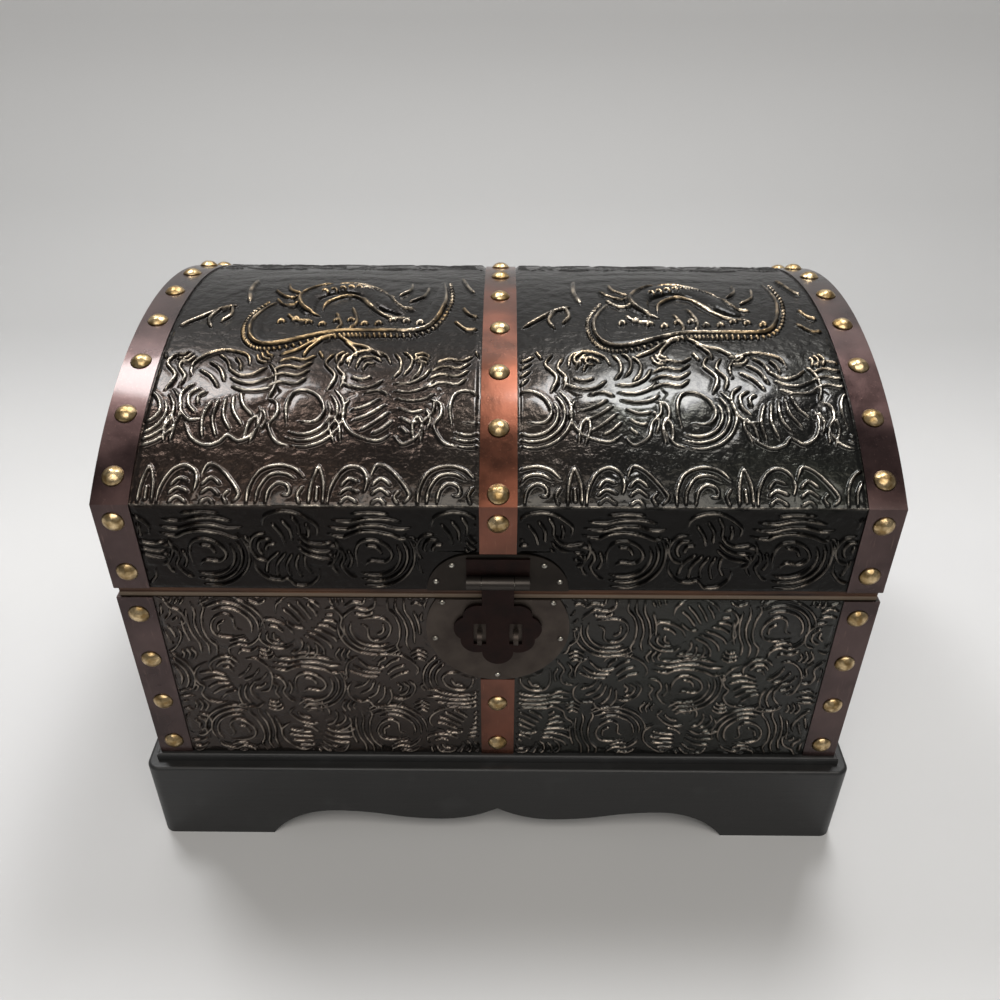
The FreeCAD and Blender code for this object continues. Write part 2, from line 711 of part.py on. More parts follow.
nail_radius = sizes["nail_shank"] / 2
brad_radius = sizes["brad_shank"] / 2
box_holes = holes(
    "box_holes",
    (box_nail_seats, nail_radius, sizes["nail_length"]),
    (lower_brad_seats, brad_radius, sizes["brad_length"]),
    (box_screw_seats, sizes["screw_shank"], sizes["screw_length"]),
)
lid_holes = holes(
    "lid_holes",
    (lid_nail_seats, nail_radius, sizes["nail_length"]),
    (upper_brad_seats, brad_radius, sizes["brad_length"]),
    (lid_screw_seats, sizes["screw_shank"], sizes["screw_length"]),
)

# The sheets are pressed with a pattern that repeats: round flowers and curled leaves take turns along a row
# and change places from row to row. Twin petals and arches stand on the creases, and a dragon lies over
# each half of the crown. Each motif is a low crowned pad with the motif's outline.
MOTIFS_ACROSS = 4
END_MOTIFS_ACROSS = 6
END_MOTIF_ROWS = 2
PETAL_CURVE = 0.53
ARCH_CURVE = 1.04


def rounded(valleys):
    """Outline of round petals between the valleys of a flower, given anticlockwise. PETAL_CURVE is a
    petal's radius over the distance between its valleys."""
    outline = []
    for (across, up), (next_across, next_up) in zip(valleys, valleys[1:] + valleys[:1]):
        run = next_across - across
        climb = next_up - up
        outline.append((across, up, -PETAL_CURVE * root(run * run + climb * climb)))
    return outline


def flower(half):
    """Outline of a flower with four petals."""
    valley = 0.92 * half
    level = as_size(0.0)
    return rounded([(valley, level), (level, valley), (-valley, level), (level, -valley)])


def tall_flower(half):
    """Outline of a flower with a petal above, one below and two on each side."""
    valley = 0.34 * half
    waist = 0.42 * half
    rim = 0.72 * half
    level = as_size(0.0)
    right = [(valley, -rim), (waist, level), (valley, rim)]
    left = [(-valley, rim), (-waist, level), (-valley, -rim)]
    return rounded(right + left)


def curled_leaf(half):
    """Outline of a leaf with one full and one flat side."""
    return [(-0.45 * half, 0.85 * half, -2.2 * half), (-0.25 * half, -0.9 * half, -0.9 * half)]


def twin_petals(half, height):
    """Outline of two petals side by side on the crease."""
    low = -height / 2
    return [(-half, low), (half, low, -0.62 * half), (0.0, 0.1 * height, -0.62 * half)]


def arched_leaf(half, height):
    """Outline of a leaf that stands on the crease under a round arch."""
    low = -height / 2
    spring = height / 2 - half
    return [(-half, low), (half, low), (half, spring, -ARCH_CURVE * half), (-half, spring)]


def coil(half):
    """Outline of a dragon's lower coil, a broad band that opens upwards."""
    return [
        (-half, 0.1 * half, -2.0 * half),
        (-0.78 * half, -0.82 * half, -3.0 * half),
        (0.86 * half, -0.8 * half, -2.0 * half),
        (1.06 * half, 0.1 * half),
        (0.9 * half, 0.1 * half, 2.0 * half),
        (0.73 * half, -0.64 * half, 3.0 * half),
        (-0.63 * half, -0.66 * half, 2.0 * half),
        (-0.84 * half, 0.1 * half),
    ]


def arched_back(half):
    """Outline of a dragon's arched back, over its coil."""
    outer = 0.56 * half
    inner = 0.3 * half
    low = -0.2 * half
    return [
        (-outer, low),
        (-inner, low, ARCH_CURVE * inner),
        (inner, low),
        (outer, low, -ARCH_CURVE * outer),
    ]


rise = sizes["emboss_rise"]
half_sheet = sizes["sheet"] / 2
motif_gap = sizes["motif_gap"]
motif_pitch = sizes["motif_pitch"]
# A box has as many rows as keep them no further apart than the columns.
sheet_height = box_sheet_top - floor_z
motif_rows = math.ceil(sheet_height.value / motif_pitch.value)
row_pitch = sheet_height / motif_rows
bay_low = half_strap + motif_gap / 2
bay_high = strap_x - sizes["strap_width"] - motif_gap / 2
end_pitch = 2 * (strap_y - sizes["strap_width"]) / END_MOTIFS_ACROSS
motif_half = (row_pitch - motif_gap) / 2
crease_height = sizes["crease_motif_height"]
flower_half = sizes["flower_height"] / 2
press_depth = sizes["press_depth"]
press_length = 2 * press_depth


def ball(label, radius, z):
    item = doc.addObject("Part::Sphere", label)
    bind(item, "Radius", radius)
    place(item, z=z)
    return item


def crowned(label, outline, half, fall):
    """Motif that reaches up and down from its seat, under a crown that falls towards its rim."""
    plain = profile(f"{label}_plain", "XY_Plane", [outline], press_length, at=(0.0, 0.0, -press_depth))
    radius = (half * half + fall * fall) / (2 * fall)
    return shared(label, plain, ball(f"{label}_ball", radius, rise - radius))


def bent(label, outline):
    """Motif whose top follows the dome."""
    plain = profile(f"{label}_plain", "XY_Plane", [outline], press_length, at=(0.0, 0.0, -press_depth))
    over = rod(f"{label}_over", dome_radius + rise, 2 * half_width, -half_width, 0.0, -dome_radius)
    return shared(label, plain, over)


fall = sizes["emboss_fall"]
dome_fall = fall + flower_half * flower_half / (2 * dome_radius)
flat_motifs = [
    crowned("round_flower", flower(motif_half), motif_half, fall),
    crowned("small_leaf", curled_leaf(motif_half), motif_half, fall),
]
crease_motifs = [
    crowned("crease_arch", arched_leaf(motif_pitch / 3, crease_height), motif_pitch / 3, fall),
    crowned("crease_petals", twin_petals(motif_pitch / 2 - motif_gap, crease_height), motif_pitch / 2, fall),
]
dome_motifs = [
    crowned("dome_leaf", curled_leaf(flower_half), flower_half, dome_fall),
    crowned("dome_flower", tall_flower(flower_half), flower_half, dome_fall),
]
dragon_coil = bent("dragon_coil", coil(sizes["dragon_half"]))
dragon_back = bent("dragon_back", arched_back(sizes["dragon_half"]))
doc.recompute()


def facing(seat, across, outwards):
    """Placement of a motif on its seat, with its own right side along across."""
    return FreeCAD.Placement(seat, FreeCAD.Rotation(across, outwards.cross(across), outwards, "ZXY"))


def stamped(label, copies):
    """Copies of motifs, each on its place."""
    item = doc.addObject("Part::Feature", label)
    shapes = [motif.Shape.transformed(where.toMatrix(), True) for motif, where in copies]
    item.Shape = Part.makeCompound(shapes)
    item.Placement = FreeCAD.Placement()
    return item


def columns(count, start, pitch):
    """Middles of motifs to both sides of the middle of a row, each with its rank from there."""
    right = [(rank, start + rank * pitch) for rank in range(count)]
    return [(rank, -middle) for rank, middle in reversed(right)] + right


def rows_of_motifs(row_columns, low, rows, face, across, outwards):
    """Motifs over a flat side, flowers and leaves by turns."""
    copies = []
    for row in range(rows):
        level = point(0.0, 0.0, low + (row + 0.5) * row_pitch)
        for rank, middle in row_columns:
            seat = level + outwards * face.value + across * middle.value
            copies.append((flat_motifs[(row + rank) % 2], facing(seat, across, outwards)))
    return copies


long_row = columns(MOTIFS_ACROSS, sizes["motif_start"], motif_pitch)
end_row = columns(END_MOTIFS_ACROSS // 2, end_pitch / 2, end_pitch)
front_copies = rows_of_motifs(long_row, floor_z, motif_rows, half_depth, ALONG_X, -ALONG_Y)
back_copies = rows_of_motifs(long_row, floor_z, motif_rows, half_depth, -ALONG_X, ALONG_Y)
left_copies = rows_of_motifs(end_row, floor_z, motif_rows, half_width, -ALONG_Y, -ALONG_X)
right_copies = rows_of_motifs(end_row, floor_z, motif_rows, half_width, ALONG_Y, ALONG_X)
left_arch_copies = rows_of_motifs(end_row, lid_sheet_low, END_MOTIF_ROWS, half_width, -ALONG_Y, -ALONG_X)
right_arch_copies = rows_of_motifs(end_row, lid_sheet_low, END_MOTIF_ROWS, half_width, ALONG_Y, ALONG_X)

# Pads end inside their sheet, and short of the straps, the latch plates and the hinge leaves.
room_depth = 4 * rise


def pads(label, layer, copies, *rooms):
    """Raised motifs of one sheet, as far as they lie in a layer from its middle outwards."""
    raised = shared(f"{label}_raised" if rooms else label, layer, stamped(f"{label}_motifs", copies))
    return cut(label, raised, *rooms) if rooms else raised


plate_room = profile(
    "plate_room", "XZ_Plane", [], room_depth,
    circles=[(0.0, plate_z, sizes["lower_plate_radius"] + motif_gap)], at=(0.0, -wood_y, 0.0))
upper_half = sizes["upper_plate_half"] + motif_gap
upper_room = block(
    "upper_room", (-upper_half, -half_depth - room_depth, lid_sheet_low - motif_gap),
    (upper_half, -wood_y, upper_top + motif_gap))
hinge_rooms = []
for number, middle in enumerate(hinge_middles):
    half = sizes["hinge_width"] / 2 + motif_gap
    reach = sizes["hinge_leaf"] + motif_gap
    low = (middle - half, wood_y, hinge_z - reach)
    high = (middle + half, half_depth + room_depth, hinge_z + reach)
    hinge_rooms.append(block(f"hinge_room_{number}", low, high))
hinge_room = group("hinge_room", *hinge_rooms)

# Embossed sheets of the box, one to a side, with punched holes.
gap = sizes["fastener_gap"]
tang_openings = []
for number, middle in enumerate(eye_middles):
    half_thick = sizes["eye_thick"] / 2 + gap
    half_tang = sizes["tang_height"] / 2 + gap
    low = (middle - half_thick, -plate_y, eye_z - half_tang)
    high = (middle + half_thick, -wood_y + gap, eye_z + half_tang)
    tang_openings.append(block(f"tang_opening_{number}", low, high))

front_plain = block("front_plain", (-half_width, -half_depth, floor_z), (half_width, -wood_y, box_sheet_top))
back_plain = block("back_plain", (-half_width, wood_y, floor_z), (half_width, half_depth, box_sheet_top))
left_plain = block("left_plain", (-half_width, -wood_y, floor_z), (-wood_x, wood_y, box_sheet_top))
right_plain = block("right_plain", (wood_x, -wood_y, floor_z), (half_width, wood_y, box_sheet_top))
middle_x = half_width - half_sheet
middle_y = half_depth - half_sheet
layer_x = half_width + room_depth
layer_y = half_depth + room_depth
end_high = strap_y - sizes["strap_width"] - motif_gap / 2
bay_starts = (-bay_high, bay_low)
bay_width = bay_high - bay_low


def long_layer(label, low_y, high_y):
    """Layer over a long side of the box, between its straps."""
    layers = [
        block(f"{label}_{number}", (start, low_y, floor_z), (start + bay_width, high_y, box_sheet_top))
        for number, start in enumerate(bay_starts)
    ]
    return group(label, *layers)


front_layer = long_layer("front_layer", -layer_y, -middle_y)
back_layer = long_layer("back_layer", middle_y, layer_y)
left_layer = block("left_layer", (-layer_x, -end_high, floor_z), (-middle_x, end_high, box_sheet_top))
right_layer = block("right_layer", (middle_x, -end_high, floor_z), (layer_x, end_high, box_sheet_top))
front_pads = pads("front_pads", front_layer, front_copies, plate_room)
back_pads = pads("back_pads", back_layer, back_copies, hinge_room)
left_pads = pads("left_pads", left_layer, left_copies)
right_pads = pads("right_pads", right_layer, right_copies)
front_pressed = fuse("front_pressed", front_plain, front_pads)
back_pressed = fuse("back_pressed", back_plain, back_pads)
left_pressed = fuse("left_pressed", left_plain, left_pads)
right_pressed = fuse("right_pressed", right_plain, right_pads)
box_front_sheet = cut("box_front_sheet", front_pressed, box_holes, *tang_openings)
box_back_sheet = cut("box_back_sheet", back_pressed, box_holes)
box_left_sheet = cut("box_left_sheet", left_pressed, box_holes)
box_right_sheet = cut("box_right_sheet", right_pressed, box_holes)

# The lid's sheet is folded over the dome and down both skirts; arched sheets close the ends.
skirt_middle = (lid_sheet_low + crease_z) / 2
crease_arc = motif_gap.value + crease_height.value / 2
flower_arc = sizes["flower_margin"].value + flower_half.value
lid_copies = []
for rank, middle in long_row:
    for y_side, across in ((-1, ALONG_X), (1, -ALONG_X)):
        outwards = ALONG_Y * y_side
        seat = point(middle, y_side * half_depth, skirt_middle)
        lid_copies.append((flat_motifs[rank % 2], facing(seat, across, outwards)))
        for motifs, arc in ((crease_motifs, crease_arc), (dome_motifs, flower_arc)):
            along = arc if y_side < 0 else dome_arc - arc
            seat, outwards = around_dome(middle, dome_radius, along)
            lid_copies.append((motifs[rank % 2], facing(seat, across, outwards)))
bay_middle = (bay_low + bay_high) / 2
for x_side in (-1, 1):
    seat, outwards = around_dome(x_side * bay_middle, dome_radius, dome_arc / 2)
    lid_copies.append((dragon_coil, facing(seat, ALONG_X, outwards)))
    lid_copies.append((dragon_back, facing(seat, ALONG_X, outwards)))

lid_plain = profile(
    "lid_plain", "YZ_Plane", [folded(-sizes["sheet"], as_size(0.0), lid_sheet_low, lid_sheet_low)],
    2 * wood_x, at=(-wood_x, 0.0, 0.0))
folded_layer = [folded(-half_sheet, room_depth, lid_sheet_low, lid_sheet_low)]
lid_layers = [
    profile(f"lid_layer_{number}", "YZ_Plane", folded_layer, bay_width, at=(start, 0.0, 0.0))
    for number, start in enumerate(bay_starts)
]
lid_pads = pads("lid_pads", group("lid_layer", *lid_layers), lid_copies, upper_room, hinge_room)
lid_pressed = fuse("lid_pressed", lid_plain, lid_pads)
lid_sheet = cut("lid_folded_sheet", lid_pressed, lid_holes)

end_arch = arch(as_size(0.0), lid_sheet_low)
end_field = [arch(-(sizes["strap_width"] + motif_gap), lid_sheet_low)]


def lid_end_sheet(label, low_x, layer_low, copies):
    plain = profile(f"{label}_plain", "YZ_Plane", [end_arch], sizes["sheet"], at=(low_x, 0.0, 0.0))
    layer = profile(f"{label}_layer", "YZ_Plane", end_field, layer_x - middle_x, at=(layer_low, 0.0, 0.0))
    return cut(label, fuse(f"{label}_pressed", plain, pads(f"{label}_pads", layer, copies)), lid_holes)


lid_left_sheet = lid_end_sheet("lid_left_sheet", -half_width, -layer_x, left_arch_copies)
lid_right_sheet = lid_end_sheet("lid_right_sheet", wood_x, middle_x, right_arch_copies)

# Copper straps of the box: angles round the four corners, and flat strips in the middle.


def corner_strap(label, x_side, y_side):
    reach_x = strap_x - sizes["strap_width"]
    reach_y = strap_y - sizes["strap_width"]
    plan = [
        (x_side * strap_x, y_side * strap_y),
        (x_side * reach_x, y_side * strap_y),
        (x_side * reach_x, y_side * half_depth),
        (x_side * half_width, y_side * half_depth),
        (x_side * half_width, y_side * reach_y),
        (x_side * strap_x, y_side * reach_y),
    ]
    plain = profile(f"{label}_plain", "XY_Plane", [plan], box_sheet_top - floor_z, at=(0.0, 0.0, floor_z))
    return cut(label, plain, box_holes)


front_left_strap = corner_strap("box_front_left_strap", -1, -1)
front_right_strap = corner_strap("box_front_right_strap", 1, -1)
back_left_strap = corner_strap("box_back_left_strap", -1, 1)
back_right_strap = corner_strap("box_back_right_strap", 1, 1)

front_strip = block("front_strip", (-half_strap, -strap_y, floor_z), (half_strap, -half_depth, plate_foot))
back_strip = block("back_strip", (-half_strap, half_depth, floor_z), (half_strap, strap_y, box_sheet_top))
front_middle_strap = cut("box_front_middle_strap", front_strip, box_holes)
back_middle_strap = cut("box_back_middle_strap", back_strip, box_holes)

# Copper straps of the lid: the edge straps are folded down over the ends, the middle one is a plain strip.


def edge_strap(label, x_side):
    thick = sizes["strap_thick"]
    width = sizes["strap_width"]
    low_x = -strap_x if x_side < 0 else strap_x - width
    cap = profile(f"{label}_cap", "YZ_Plane", [arch(thick, lid_sheet_low)], width, at=(low_x, 0.0, 0.0))
    core_x = -half_width if x_side < 0 else half_width - width - thick
    core = profile(
        f"{label}_core", "YZ_Plane", [arch(as_size(0.0), lid_z)], width + thick, at=(core_x, 0.0, 0.0))
    window_x = -strap_x - thick if x_side < 0 else half_width - thick
    window = profile(
        f"{label}_window", "YZ_Plane", [arch(thick - width, lid_z)], 3 * thick, at=(window_x, 0.0, 0.0))
    return cut(label, cap, core, window, lid_holes)


lid_left_strap = edge_strap("lid_left_strap", -1)
lid_right_strap = edge_strap("lid_right_strap", 1)
middle_low = upper_top + sizes["trim_gap"]
middle_plain = profile(
    "middle_plain", "YZ_Plane",
    [folded(as_size(0.0), sizes["strap_thick"], middle_low, lid_sheet_low)],
    sizes["strap_width"], at=(-half_strap, 0.0, 0.0))
lid_middle_strap = cut("lid_middle_strap", middle_plain, lid_holes)

# The latch: a round plate on the box, its counterpart on the lid, a leaf with knuckles, and the hasp.
# Outlines on the front plane grow towards -Y, so each plate's body stands on the face behind it.
brad_hole = brad_radius + gap
radius = sizes["lower_plate_radius"]
cut_height = box_sheet_top - plate_z
cut_half = root(radius * radius - cut_height * cut_height)
round_outline = [
    (-cut_half, box_sheet_top, -radius),
    (-radius, plate_z, -radius),
    (0.0, plate_z - radius, -radius),
    (radius, plate_z, -radius),
    (cut_half, box_sheet_top),
]
tang_loops = [
    rectangle(
        (middle - sizes["eye_thick"] / 2 - gap, eye_z - sizes["tang_height"] / 2 - gap),
        (middle + sizes["eye_thick"] / 2 + gap, eye_z + sizes["tang_height"] / 2 + gap))
    for middle in eye_middles
]
lower_plate = profile(
    "latch_lower_plate", "XZ_Plane", [round_outline] + tang_loops, sizes["plate_thick"],
    circles=[(x, z, brad_hole) for x, z in lower_brads], at=(0.0, -half_depth, 0.0))

plate_half = sizes["upper_plate_half"]
upper_outline = [
    (-plate_half, lid_sheet_low, upper_corner),
    (upper_corner - plate_half, upper_top),
    (plate_half - upper_corner, upper_top, upper_corner),
    (plate_half, lid_sheet_low),
]
upper_plate = profile(
    "latch_upper_plate", "XZ_Plane", [upper_outline], sizes["plate_thick"],
    circles=[(x, z, brad_hole) for x, z in upper_brads], at=(0.0, -half_depth, 0.0))

latch_half = sizes["latch_width"] / 2
neck_half = sizes["hasp_neck"] / 2
moving_half = neck_half + sizes["knuckle_gap"]
leaf_gap = latch_z + sizes["latch_barrel"] + sizes["knuckle_gap"]
leaf_top = latch_z + sizes["latch_leaf_top"]
leaf_outline = [
    (-latch_half, latch_z),
    (-moving_half, latch_z),
    (-moving_half, leaf_gap),
    (moving_half, leaf_gap),
    (moving_half, latch_z),
    (latch_half, latch_z),
    (latch_half, leaf_top),
    (-latch_half, leaf_top),
]
leaf_plate = profile(
    "leaf_plate", "XZ_Plane", [leaf_outline], sizes["leaf_thick"], at=(0.0, -plate_y, 0.0))
side_knuckle = latch_half - moving_half
left_knuckle = rod("left_knuckle", sizes["latch_barrel"], side_knuckle, -latch_half, latch_y, latch_z)
right_knuckle = rod("right_knuckle", sizes["latch_barrel"], side_knuckle, moving_half, latch_y, latch_z)
latch_bore_radius = sizes["latch_pin"] + sizes["pin_gap"]
latch_bore = rod("latch_bore", latch_bore_radius, sizes["latch_width"], -latch_half, latch_y, latch_z)
latch_leaf_plain = fuse("latch_leaf_plain", leaf_plate, left_knuckle, right_knuckle)
latch_leaf = cut("latch_leaf", latch_leaf_plain, latch_bore)
latch_pin = rod("latch_pin", sizes["latch_pin"], sizes["latch_width"], -latch_half, latch_y, latch_z)

half_cloud = [
    (sizes["lower_lobe_reach"], latch_z - sizes["lower_lobe_drop"], -sizes["lower_lobe_radius"]),
    (sizes["side_lobe_reach"], latch_z - sizes["side_lobe_drop"], -sizes["side_lobe_radius"]),
    (sizes["upper_lobe_reach"], latch_z - sizes["upper_lobe_drop"], -sizes["upper_lobe_radius"]),
    (neck_half, latch_z - sizes["shoulder_drop"]),
    (neck_half, latch_z),
]
other_half = [
    (-neck_half, latch_z),
    (-neck_half, latch_z - sizes["shoulder_drop"], -sizes["upper_lobe_radius"]),
    (-sizes["upper_lobe_reach"], latch_z - sizes["upper_lobe_drop"], -sizes["side_lobe_radius"]),
    (-sizes["side_lobe_reach"], latch_z - sizes["side_lobe_drop"], -sizes["lower_lobe_radius"]),
    (-sizes["lower_lobe_reach"], latch_z - sizes["lower_lobe_drop"], -sizes["tip_radius"]),
]
tip = [(0.0, latch_z - sizes["hasp_length"], -sizes["tip_radius"])]
slot_loops = [
    rectangle(
        (middle - sizes["slot_width"] / 2, eye_z - sizes["slot_height"] / 2),
        (middle + sizes["slot_width"] / 2, eye_z + sizes["slot_height"] / 2))
    for middle in eye_middles
]
hasp_plate = profile(
    "hasp_plate", "XZ_Plane", [tip + half_cloud + other_half] + slot_loops, sizes["hasp_thick"],
    at=(0.0, hasp_back, 0.0))
hasp_knuckle = rod("hasp_knuckle", sizes["latch_barrel"], sizes["hasp_neck"], -neck_half, latch_y, latch_z)
hasp_plain = fuse("hasp_plain", hasp_plate, hasp_knuckle)
hasp = cut("cloud_hasp", hasp_plain, latch_bore)

# Padlock eyes: flat rings on tangs that are driven through the round plate into the front board.
neck_of_eye = root(sizes["eye_outer"] * sizes["eye_outer"] - sizes["tang_height"] * sizes["tang_height"] / 4)
eye_outline = [
    (tang_end, eye_z - sizes["tang_height"] / 2),
    (tang_end, eye_z + sizes["tang_height"] / 2),
    (eye_y + neck_of_eye, eye_z + sizes["tang_height"] / 2, -sizes["eye_outer"]),
    (eye_y, eye_z + sizes["eye_outer"], -sizes["eye_outer"]),
    (eye_y - sizes["eye_outer"], eye_z, -sizes["eye_outer"]),
    (eye_y, eye_z - sizes["eye_outer"], -sizes["eye_outer"]),
    (eye_y + neck_of_eye, eye_z - sizes["tang_height"] / 2),
]
eyes = [
    profile(
        f"eye_{number}", "YZ_Plane", [eye_outline], sizes["eye_thick"],
        circles=[(eye_y, eye_z, sizes["eye_bore"])], at=(middle - sizes["eye_thick"] / 2, 0.0, 0.0))
    for number, middle in enumerate(eye_middles)
]
padlock_eyes = group("padlock_eyes", *eyes)

# The back hinges: a leaf on the box with two knuckles, a leaf on the lid with one between them, a pin.
# Lugs on the outer knuckles turn in recesses of the middle one and stop the lid at the end of its travel.
hinge_half = sizes["hinge_width"] / 2
middle_half = sizes["hinge_knuckle"] / 2
outer_start = middle_half + sizes["knuckle_gap"]
outer_length = hinge_half - outer_start
hinge_bore_radius = sizes["hinge_pin"] + sizes["pin_gap"]
lug_reach = sizes["lug_length"] + sizes["knuckle_gap"]
recess_depth = sizes["lug_length"] + sizes["knuckle_gap"]
screw_hole = sizes["screw_shank"] + gap
LUG_START = 90.0
recess_start = LUG_START - sizes["stop_gap"]
recess_span = sizes["lug_angle"] + sizes["lid_travel"] + 2 * sizes["stop_gap"]

box_leaves = []
lid_leaves = []
pins = []
for number, middle in enumerate(hinge_middles):
    barrel = (hinge_y, hinge_z)
    left = middle - hinge_half
    bore = rod(f"hinge_bore_{number}", hinge_bore_radius, sizes["hinge_width"], left, *barrel)
    clear = sizes["hinge_barrel"] + sizes["knuckle_gap"]

    low_outline = [
        (left, hinge_z - sizes["hinge_leaf"]),
        (middle + hinge_half, hinge_z - sizes["hinge_leaf"]),
        (middle + hinge_half, hinge_z),
        (middle + outer_start, hinge_z),
        (middle + outer_start, hinge_z - clear),
        (middle - outer_start, hinge_z - clear),
        (middle - outer_start, hinge_z),
        (left, hinge_z),
    ]
    low_circles = [
        (middle + step * sizes["screw_pitch"], hinge_z - sizes["screw_row"], screw_hole)
        for step in SCREW_STEPS
    ]
    low_plate = profile(
        f"box_leaf_plate_{number}", "XZ_Plane", [low_outline], sizes["leaf_thick"],
        circles=low_circles, at=(0.0, screw_y, 0.0))
    low_parts = [
        low_plate,
        rod(f"left_outer_{number}", sizes["hinge_barrel"], outer_length, left, *barrel),
        rod(f"right_outer_{number}", sizes["hinge_barrel"], outer_length, middle + outer_start, *barrel),
    ]
    lug = (LUG_START, sizes["lug_angle"])
    for name, lug_x in (("left", middle - outer_start), ("right", middle + outer_start - lug_reach)):
        lug_label = f"{name}_lug_{number}"
        low_parts.append(rod(lug_label, sizes["hinge_barrel"], lug_reach, lug_x, *barrel, turn=lug))
    low_plain = fuse(f"box_leaf_plain_{number}", *low_parts)
    box_leaves.append(cut(f"box_leaf_{number}", low_plain, bore))

    high_outline = [
        (left, hinge_z + sizes["hinge_leaf"]),
        (left, hinge_z + clear),
        (middle - middle_half, hinge_z + clear),
        (middle - middle_half, hinge_z),
        (middle + middle_half, hinge_z),
        (middle + middle_half, hinge_z + clear),
        (middle + hinge_half, hinge_z + clear),
        (middle + hinge_half, hinge_z + sizes["hinge_leaf"]),
    ]
    high_circles = [
        (middle + step * sizes["screw_pitch"], hinge_z + sizes["screw_row"], screw_hole)
        for step in SCREW_STEPS
    ]
    high_plate = profile(
        f"lid_leaf_plate_{number}", "XZ_Plane", [high_outline], sizes["leaf_thick"],
        circles=high_circles, at=(0.0, screw_y, 0.0))
    knuckle_label = f"middle_knuckle_{number}"
    knuckle_x = middle - middle_half
    knuckle = rod(knuckle_label, sizes["hinge_barrel"], sizes["hinge_knuckle"], knuckle_x, *barrel)
    high_plain = fuse(f"lid_leaf_plain_{number}", high_plate, knuckle)
    recess = (recess_start, recess_span)
    recesses = [
        rod(f"{name}_recess_{number}", clear, recess_depth, recess_x, *barrel, turn=recess)
        for name, recess_x in (("left", middle - middle_half), ("right", middle + middle_half - recess_depth))
    ]
    lid_leaves.append(cut(f"lid_leaf_{number}", high_plain, bore, *recesses))

    shaft = rod(f"shaft_{number}", sizes["hinge_pin"], sizes["hinge_width"], left, *barrel)
    heads = [
        rod(f"{name}_head_{number}", sizes["hinge_barrel"], sizes["hinge_head"], head_x, *barrel)
        for name, head_x in (("left", left - sizes["hinge_head"]), ("right", middle + hinge_half))
    ]
    pins.append(fuse(f"pin_{number}", shaft, *heads))

hinge_box_leaves = group("hinge_box_leaves", *box_leaves)
hinge_lid_leaves = group("hinge_lid_leaves", *lid_leaves)
hinge_pins = group("hinge_pins", *pins)

SUB_PARTS = (
    plinth_front, plinth_back, plinth_left, plinth_right, plinth_blocks, base,
    front_board, back_board, left_board, right_board,
    box_front_sheet, box_back_sheet, box_left_sheet, box_right_sheet,
    front_left_strap, front_right_strap, back_left_strap, back_right_strap,
    front_middle_strap, back_middle_strap, box_nails,
    lower_plate, lower_plate_brads, padlock_eyes,
    hinge_box_leaves, hinge_box_screws, hinge_pins,
    lid_front_rail, lid_back_rail, lid_left_end, lid_right_end, lid_dome,
    lid_sheet, lid_left_sheet, lid_right_sheet,
    lid_left_strap, lid_right_strap, lid_middle_strap, lid_nails,
    upper_plate, upper_plate_brads, latch_leaf, latch_pin,
    hinge_lid_leaves, hinge_lid_screws,
    hasp,
)

doc.recompute()
for item in doc.Objects:
    if "Invalid" in item.State or "Error" in item.State:
        raise RuntimeError(f"{item.Label} failed: {item.State}")
for item in SUB_PARTS:
    if item.Shape.isNull() or not item.Shape.isValid():
        raise RuntimeError(f"{item.Label} has no valid shape")
os.makedirs("parts", exist_ok=True)
for item in SUB_PARTS:
    item.Shape.exportStep(f"parts/{item.Label}.step")
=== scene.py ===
import math

import bmesh
import bpy
import numpy as np
from mathutils import Matrix, Vector


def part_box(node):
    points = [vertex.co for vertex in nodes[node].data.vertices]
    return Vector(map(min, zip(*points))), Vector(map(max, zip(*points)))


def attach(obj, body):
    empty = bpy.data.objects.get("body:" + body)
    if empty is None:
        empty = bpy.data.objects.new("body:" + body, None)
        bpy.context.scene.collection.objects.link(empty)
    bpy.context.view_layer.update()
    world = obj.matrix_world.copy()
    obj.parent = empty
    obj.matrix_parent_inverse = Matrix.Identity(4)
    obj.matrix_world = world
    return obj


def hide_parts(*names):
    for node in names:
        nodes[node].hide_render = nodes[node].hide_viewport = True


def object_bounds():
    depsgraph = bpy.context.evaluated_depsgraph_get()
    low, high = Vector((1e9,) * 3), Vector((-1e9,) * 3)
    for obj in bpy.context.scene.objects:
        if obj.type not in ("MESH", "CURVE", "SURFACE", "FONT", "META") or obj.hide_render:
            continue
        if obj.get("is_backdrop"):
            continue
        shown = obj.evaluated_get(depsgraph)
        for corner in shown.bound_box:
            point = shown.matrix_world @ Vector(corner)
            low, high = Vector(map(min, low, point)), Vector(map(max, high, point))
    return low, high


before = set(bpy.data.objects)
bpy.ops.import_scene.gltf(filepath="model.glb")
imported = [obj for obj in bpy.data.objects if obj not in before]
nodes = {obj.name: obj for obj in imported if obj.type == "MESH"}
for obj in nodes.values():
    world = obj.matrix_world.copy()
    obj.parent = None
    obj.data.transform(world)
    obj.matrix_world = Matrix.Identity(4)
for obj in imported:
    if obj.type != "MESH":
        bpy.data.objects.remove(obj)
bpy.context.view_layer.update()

# The plinth is four mitred softwood aprons with bracket feet, and the base board is a stepped ledge above
# them. All are sprayed satin black.


def linear(text):
    """Linear colour of an sRGB hex value."""
    parts = [int(text[i:i + 2], 16) / 255 for i in (1, 3, 5)]
    return [c / 12.92 if c <= 0.04045 else ((c + 0.055) / 1.055) ** 2.4 for c in parts] + [1.0]


def node(tree, kind, inputs=None, out=0, **settings):
    """Add a node and return one of its sockets; inputs gives each input a value, a hex colour or a socket."""
    item = tree.nodes.new(kind)
    for key, value in settings.items():
        setattr(item, key, value)
    for key, value in (inputs or {}).items():
        if isinstance(value, bpy.types.NodeSocket):
            tree.links.new(value, item.inputs[key])
        elif isinstance(value, str) and value.startswith("#"):
            item.inputs[key].default_value = linear(value)
        else:
            item.inputs[key].default_value = value
    return item.outputs[out] if len(item.outputs) else None


